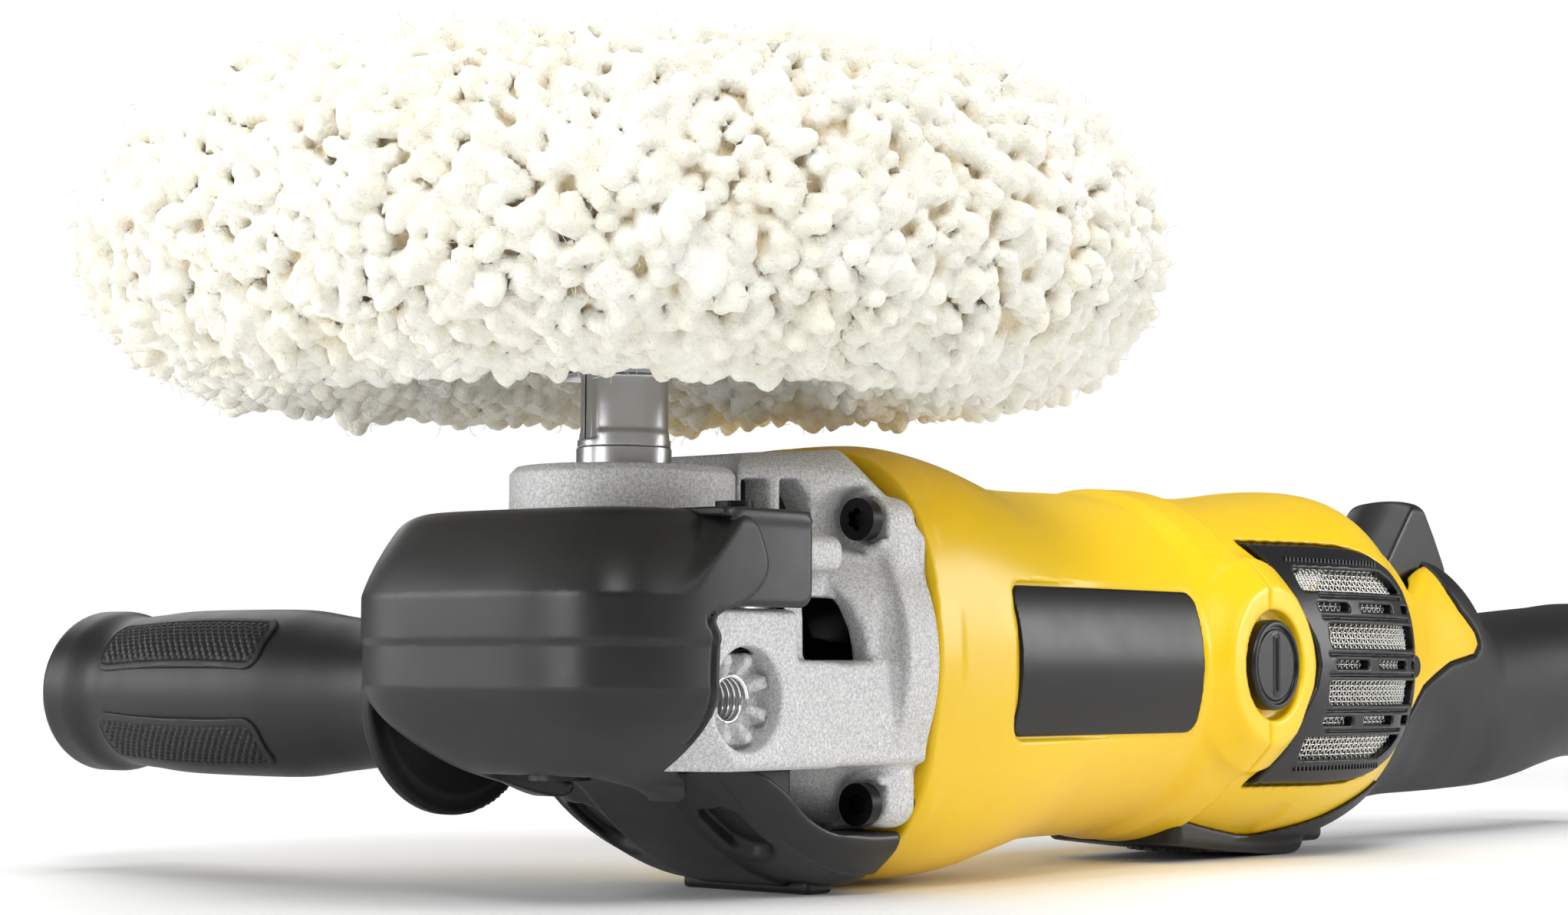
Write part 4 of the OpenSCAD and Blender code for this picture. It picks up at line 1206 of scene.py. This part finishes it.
# ---------------------------------------------------------------- adapter and washers
def make_adapter(steel):
    flat_turn, flat_at, flat_low = math.radians(154), 7.4, 42.4
    n = (math.cos(flat_turn), math.sin(flat_turn), 0)
    flats = [common(0, half_space((s * n[0], s * n[1], 0), -flat_at), half_space((0, 0, -1), -flat_low),
                    half_space((0, 0, 1), FAR)) for s in (-1, 1)]
    body = lathe(Z, AXIS, [(40.65, 0), (40.65, 9.0), (43.4, 9.0), (44.2, 8.65), (54.6, 8.65), (54.8, 16.8),
                           (56.1, 16.8), (56.3, 8.6), (84, 8.6), (84, 0)])
    bore = rod(Z, AXIS, 7.45, 30, 100)
    shape_piece("adapter_body", cut(0.25, body, bore, *flats), (-18, -18, 40), (18, 18, 84.2), 0.42, steel,
                ["pad_adapter"], "spindle")
    washer = lathe(Z, AXIS, [(56.25, 8.8), (56.25, 19.5), (57.4, 21.0), (58.5, 21.0), (58.5, 8.8)])
    shape_piece("lower_washer", washer, (-22, -22, 56), (22, 22, 59), 0.42, steel,
                ["lower_pad_washer"], "spindle")


# ---------------------------------------------------------------- wool pad
PAD_R = 104.0
PAD_LOW, PAD_HIGH = 46.5, 107.5
PAD_MID = (PAD_LOW + PAD_HIGH) / 2
SAG_SIDE = np.array((-0.766, -0.638))     # the side of the rim that hangs a little lower
HUB_R = 23.0                    # the hole that the adapter and the nut sit in
LOCK_COUNT = 7000


def pad_profile():
    """Half section of the pad's body below the pile: points (radius, z), from the hub below round to
    the hub above."""
    below = [(HUB_R + 1.5, 67.0), (HUB_R + 7, 63.5), (HUB_R + 15, 60.6), (HUB_R + 28, 57.0),
             (HUB_R + 38, 54.2)]
    above = [(HUB_R + 28, 103.0), (HUB_R + 15, 101.0), (HUB_R + 7, 97.0), (HUB_R + 1.5, 91.0)]
    rim_r, rim_half, pile = 27.0, 25.6, 4.6
    rim_at = PAD_R - pile - rim_r
    angles = np.linspace(-math.pi / 2, math.pi / 2, 15)
    rim = [(rim_at + rim_r * math.cos(a), PAD_MID + 1.0 + rim_half * math.sin(a)) for a in angles]
    return np.array(below + rim + above)


def sag(p):
    """How far the lower rim hangs down on one side and is lifted on the other."""
    low = np.clip((PAD_MID - p[:, Z]) / 26, 0, 1)
    return low * (1.5 - 1.9 * (p[:, :2] @ SAG_SIDE) / PAD_R)


def pad_base(p):
    """Distance to the pad's body, which the locks stand on."""
    outline = np.vstack([pad_profile(), [(HUB_R, 88), (HUB_R, 64)]])
    return outline_distance(length2(p[:, X], p[:, Y]), p[:, Z] - sag(p), outline)


def lock_places(rng):
    """Roots and outward directions of the locks, spread evenly over the profile's surface."""
    line = pad_profile()
    seg = np.diff(line, axis=0)
    span = np.linalg.norm(seg, axis=1)
    area = span * (line[:-1, 0] + line[1:, 0]) / 2
    share = np.cumsum(area) / area.sum()
    u = (np.arange(LOCK_COUNT) + 0.5) / LOCK_COUNT
    i = np.searchsorted(share, u)
    start = np.concatenate([[0], share[:-1]])[i]
    t = (u - start) / (share[i] - start)
    r, z = (line[i] + seg[i] * t[:, None]).T
    out_r, out_z = seg[i, 1] / span[i], -seg[i, 0] / span[i]
    golden = math.pi * (3 - math.sqrt(5))
    angle = np.arange(LOCK_COUNT) * golden + rng.normal(0, 0.007, LOCK_COUNT)
    jitter = rng.normal(0, 0.7, (2, LOCK_COUNT))
    r, z = r + jitter[0] * abs(out_z), z + jitter[1] * abs(out_r)
    root = np.stack([r * np.cos(angle), r * np.sin(angle), z], 1)
    root[:, Z] += sag(root)
    return root, np.stack([out_r * np.cos(angle), out_r * np.sin(angle), out_z], 1)


def clump(p, phase):
    """Slow waves over the pad, which gather the locks into tufts."""
    a = p @ np.array((0.11, 0.07, 0.13)) + phase
    b = p @ np.array((-0.06, 0.12, -0.10)) + 2 * phase
    c = p @ np.array((0.21, -0.17, 0.16)) + 3 * phase
    return 0.5 * np.sin(a) * np.cos(b) + 0.5 * np.sin(c) * np.cos(a * 1.7)


def wool_locks(rng):
    """Centres, directions, half widths and half lengths of the locks."""
    root, out = lock_places(rng)
    n = len(root)
    down = np.array((0, 0, -1.0))
    under = np.clip(-out[:, Z], 0, 1)[:, None]
    lean = rng.normal(0, 0.7, (n, 3)) + (0.2 + 0.3 * under) * down
    axis = out + lean
    axis /= np.linalg.norm(axis, axis=1)[:, None]
    swell = clump(root, 0.7)
    width = rng.uniform(1.6, 2.55, n) * (1 + 0.12 * swell)
    length = width * rng.uniform(1.2, 2.1, n)
    lift = 0.7 + 1.1 * swell + rng.uniform(-0.9, 1.2, n)
    centre = root + out * lift[:, None] + axis * (length * 0.2)[:, None]
    r = length2(centre[:, X], centre[:, Y])
    centre[:, :2] *= np.minimum(1, (PAD_R + 0.4 - width) / r)[:, None]
    centre[:, Z] = np.clip(centre[:, Z], PAD_LOW + 2.9, PAD_HIGH - 2.2)
    return centre, axis, width, length


class Fleece:
    """The locks' smooth union, worked out once on a grid and then read between its points."""
    SHARP = 0.1                 # millimetres over which neighbouring locks run together
    ROOM = np.array((6, 6, 4))  # round the pad

    def __init__(self, locks, voxel):
        self.voxel = voxel
        self.low = np.array((-PAD_R, -PAD_R, PAD_LOW)) - self.ROOM
        high = np.array((PAD_R, PAD_R, PAD_HIGH)) + self.ROOM
        self.size = np.ceil((high - self.low) / voxel).astype(int) + 1
        self.axes = [self.low[n] + np.arange(self.size[n]) * voxel for n in range(3)]
        self.total = np.stack([self.weight(self.base_slab(x)) for x in self.axes[X]])
        for lock in zip(*locks):
            self.add_lock(*lock)
        self.grid = (-self.SHARP * np.log(self.total)).astype(np.float32)

    def weight(self, d):
        return np.exp(np.clip(-d / self.SHARP, -60, 60)).astype(np.float64)

    def base_slab(self, x):
        gy, gz = np.meshgrid(self.axes[Y], self.axes[Z], indexing="ij")
        pts = np.stack([np.full(gy.size, x), gy.ravel(), gz.ravel()], 1).astype(np.float32)
        return pad_base(pts).reshape(gy.shape)

    def add_lock(self, centre, along, width, length):
        reach = length + 2.0
        first = np.maximum(((centre - reach - self.low) / self.voxel).astype(int), 0)
        last = np.minimum(((centre + reach - self.low) / self.voxel).astype(int) + 2, self.size)
        box = tuple(slice(a, b) for a, b in zip(first, last))
        dx, dy, dz = np.ix_(*[self.axes[n][box[n]] - centre[n] for n in range(3)])
        t = dx * along[X] + dy * along[Y] + dz * along[Z]
        square = dx * dx + dy * dy + dz * dz
        q = np.sqrt((square - t * t) / (width * width) + t * t / (length * length) + 1e-9)
        self.total[box] += self.weight((q - 1) * width)

    def __call__(self, p):
        q = (p - self.low) / self.voxel
        i = np.clip(q.astype(int), 0, self.size - 2)
        t = np.clip(q - i, 0, 1).astype(np.float32)
        out = np.zeros(len(p), np.float32)
        for corner in CORNERS:
            share = np.prod(np.where(corner, t, 1 - t), 1)
            out += share * self.grid[tuple((i + corner).T)]
        return out


def set_pile(obj, height):
    """Stores how high each point stands between the locks, which the material uses to paint shade into the
    creases.
    """
    layer = obj.data.attributes.new("crease_shade_mask", "FLOAT", "POINT")
    layer.data.foreach_set("value", height.astype(np.float32))


def make_wool(wool):
    rng = np.random.default_rng(7)
    locks = wool_locks(rng)
    voxel = 0.88
    fleece = Fleece(locks, voxel)
    low = fleece.low + voxel * 3
    high = fleece.low + (fleece.size - 4) * voxel
    pts, quads = surface(fleece, low, high, voxel, pulls=1)
    obj = new_piece("wool_fleece", pts, quads, "spindle", wool)
    set_pile(obj, np.clip((pad_base(pts.astype(np.float32)) + 0.2) / 2.0, 0, 1))
    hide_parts("wool_pad")
    return locks, rng


def fibre_path(rng, start, out, steps=6):
    """A curly line of points from inside a lock outwards."""
    turn = rng.normal(0, 1, 3)
    turn /= np.linalg.norm(turn)
    heading = out + rng.normal(0, 0.4, 3)
    step = rng.uniform(0.5, 1.15)
    p, path = start, []
    for _ in range(steps):
        path.append(p.copy())
        heading /= np.linalg.norm(heading)
        p = p + heading * step
        heading = heading + np.cross(turn, heading) * 0.45 + rng.normal(0, 0.12, 3)
    return np.array(path)


def stray_fibres(wool, locks, rng):
    """Fine hairs that stand out of the locks."""
    centres, axes, widths, _ = locks
    root_depth, count = 1.5, 5200
    paths = []
    for n in rng.integers(0, len(centres), count):
        path = fibre_path(rng, centres[n] + axes[n] * widths[n] - axes[n] * root_depth, axes[n])
        r = length2(path[:, X], path[:, Y])
        path[:, :2] *= np.minimum(1, (PAD_R + 4) / r)[:, None]
        path[:, Z] = np.clip(path[:, Z], PAD_LOW, PAD_HIGH + 1.5)
        paths.append(path)
    pts, quads = tubes(paths, 0.055, 3)
    hairs = new_piece("wool_fibres", pts, quads, "spindle", wool)
    set_pile(hairs, np.ones(len(pts)))


# ---------------------------------------------------------------- carried-over nodes
def paint(material, *names):
    for name in names:
        materials = frame["nodes"][name].data.materials
        materials.clear()
        materials.append(material)


def make_materials():
    """Every material by a short name; colours are linear."""
    return {
        "rubber": boot_rubber(),
        "nylon": moulded("black_nylon", (0.008, 0.008, 0.009), 0.34, 0.3, 1100, 0.4),
        "grip": moulded("grip_rubber", (0.009, 0.009, 0.01), 0.46, 0.4, 1300, 0.35),
        "yellow": yellow_housing(),
        "cast": cast_aluminium(),
        "steel": turned_steel("turned_steel", (0.5, 0.5, 0.51), 0.3),
        "shaft": turned_steel("ground_steel", (0.56, 0.57, 0.59), 0.22, (2600, 60, 60)),
        "plate": moulded("plate_film", (0.006, 0.006, 0.006), 0.3, 0.05, 900, 0.3),
        "screw": plain_metal("black_oxide", (0.03, 0.03, 0.032), 0.42),
        "bright": plain_metal("bright_thread", (0.82, 0.82, 0.82), 0.18),
        "wire": plain_metal("woven_wire", (0.9, 0.89, 0.85), 0.4),
        "bearing": turned_steel("bearing_steel", (0.6, 0.61, 0.63), 0.2),
        "lamination": plain_metal("lamination_steel", (0.3, 0.31, 0.33), 0.5),
        "copper": plain_metal("enamelled_copper", (0.62, 0.28, 0.1), 0.32),
        "brass": plain_metal("brass", (0.72, 0.54, 0.24), 0.3),
        "carbon": moulded("carbon", (0.03, 0.03, 0.032), 0.6, 0.6, 1800),
        "spring": plain_metal("spring_steel", (0.5, 0.51, 0.53), 0.3),
        "board": moulded("circuit_board", (0.02, 0.12, 0.05), 0.4, 0.5, 600),
        "fibre": moulded("pad_board", (0.4, 0.32, 0.22), 0.8, 0.8, 500),
        "wool": wool_material(),
    }


def paint_nodes(m):
    paint(m["bearing"], "spindle_bearing", "spindle_tail_bearing", "front_bearing", "rear_bearing")
    paint(m["screw"], "nose_plate_screws", "cover_screws", "gear_case_screws", "handle_screws",
          "grille_screws")
    paint(m["lamination"], "stator_core", "armature_core")
    paint(m["copper"], "field_coils", "armature_windings", "commutator")
    paint(m["nylon"], "fan_baffle", "fan", "cord_clamp", "switch_module", "lock_on_button",
          "spindle_lock_button", "speed_dial")
    paint(m["brass"], "brush_holders")
    paint(m["carbon"], "carbon_brushes")
    paint(m["spring"], "brush_springs", "spindle_lock_spring")
    paint(m["grip"], "cord_gland")
    paint(m["board"], "speed_module")
    paint(m["shaft"], "armature_shaft", "side_handle_stud", "pinion", "ring_gear")
    paint(m["steel"], "spindle", "upper_pad_washer", "pad_nut")
    paint(m["fibre"], "pad_core")


# ---------------------------------------------------------------- camera, light and floor
def make_camera():
    """The camera recovered from the picture's perspective."""
    data = bpy.data.cameras.new("camera")
    data.lens, data.sensor_width = 68.05, 36.0
    data.clip_start, data.clip_end = 0.05, 20
    right = Vector((0.63981, -0.76851, 0.00522))
    up = Vector((-0.05828, -0.04174, 0.99743))
    back = -Vector((0.76632, 0.63847, 0.07150))
    pose = Matrix((right, up, back)).transposed().to_4x4()
    pose.translation = Vector(to_row((-418.83, -389.18, -1.70)))
    cam = in_scene("camera", data)
    cam.matrix_world = pose
    bpy.context.scene.camera = cam


# Square lamps: name, place in metres, side in metres, power in watts.
LAMPS = [("key", (-1.0, -0.9, 1.3), 0.7, 19), ("top", (0.1, 0.0, 1.6), 1.2, 13),
         ("left", (-1.0, 1.2, 0.35), 0.5, 8), ("side", (-1.35, 0.3, 0.3), 0.5, 6),
         ("right", (1.15, -1.0, 0.35), 0.5, 7), ("fill", (0.3, -1.6, 0.9), 0.8, 5),
         ("rear", (0.5, 1.5, 0.9), 0.9, 6)]
LAMPS_AIM = Vector((0, 0, 0.06))


def make_light(name, at, size, power):
    data = bpy.data.lights.new(name, "AREA")
    data.energy, data.size = power, size
    lamp = in_scene(name, data)
    lamp.location = at
    lamp.rotation_mode = "QUATERNION"
    lamp.rotation_quaternion = (Vector(at) - LAMPS_AIM).to_track_quat("Z", "Y")


def make_floor():
    """A pale floor that fades to the backdrop's white away from the tool."""
    half = 1.1
    mesh = bpy.data.meshes.new("floor")
    corners = [(-half, -half, 0), (half, -half, 0), (half, half, 0), (-half, half, 0)]
    mesh.from_pydata(corners, [], [(0, 1, 2, 3)])
    floor = in_scene("floor", mesh)
    m = Nodes("floor", Roughness=0.9, Specular_IOR_Level=0.2, Emission_Color=(1, 1, 1, 1))
    away = m.add("VectorMath", {0: m.place}, operation="LENGTH").outputs["Value"]
    span = {"Value": away, "From Min": 0.42, "From Max": 0.95}
    fade = m.add("MapRange", span, interpolation_type="SMOOTHSTEP").outputs[0]
    m.set("Emission Strength", fade)
    m.set("Base Color", m.mix(fade, (0.93, 0.93, 0.93), (0.0, 0.0, 0.0)))
    mesh.materials.append(m.mat)


def make_studio():
    """A white backdrop, a dim even light from all round, and soft lamps."""
    scene = bpy.context.scene
    scene.view_settings.view_transform = "Standard"
    world = bpy.data.worlds.new("studio")
    world.use_nodes = True
    nodes, links = world.node_tree.nodes, world.node_tree.links
    backdrop, ambient = nodes["Background"], nodes.new("ShaderNodeBackground")
    for node, color, strength in ((backdrop, (1.0, 1.0, 1.0, 1), 1.0), (ambient, (0.97, 0.98, 1.0, 1), 0.16)):
        node.inputs["Color"].default_value = color
        node.inputs["Strength"].default_value = strength
    mix = nodes.new("ShaderNodeMixShader")
    links.new(nodes.new("ShaderNodeLightPath").outputs["Is Camera Ray"], mix.inputs[0])
    links.new(ambient.outputs[0], mix.inputs[1])
    links.new(backdrop.outputs[0], mix.inputs[2])
    links.new(mix.outputs[0], nodes["World Output"].inputs["Surface"])
    scene.world = world
    for lamp in LAMPS:
        make_light(*lamp)


def main():
    make_camera()
    m = make_materials()
    paint_nodes(m)
    make_yellow(m["yellow"], m["grip"])
    make_intakes(m["nylon"], m["wire"])
    make_trigger(m["nylon"])
    make_bumper(m["rubber"])
    make_plates(m["plate"])
    make_brush_caps(m["nylon"])
    make_gear_case(m["cast"], m["bright"])
    make_rubber(m["rubber"])
    make_side_handle(m["grip"], m["nylon"])
    make_adapter(m["steel"])
    stray_fibres(m["wool"], *make_wool(m["wool"]))
    make_floor()
    make_studio()


main()
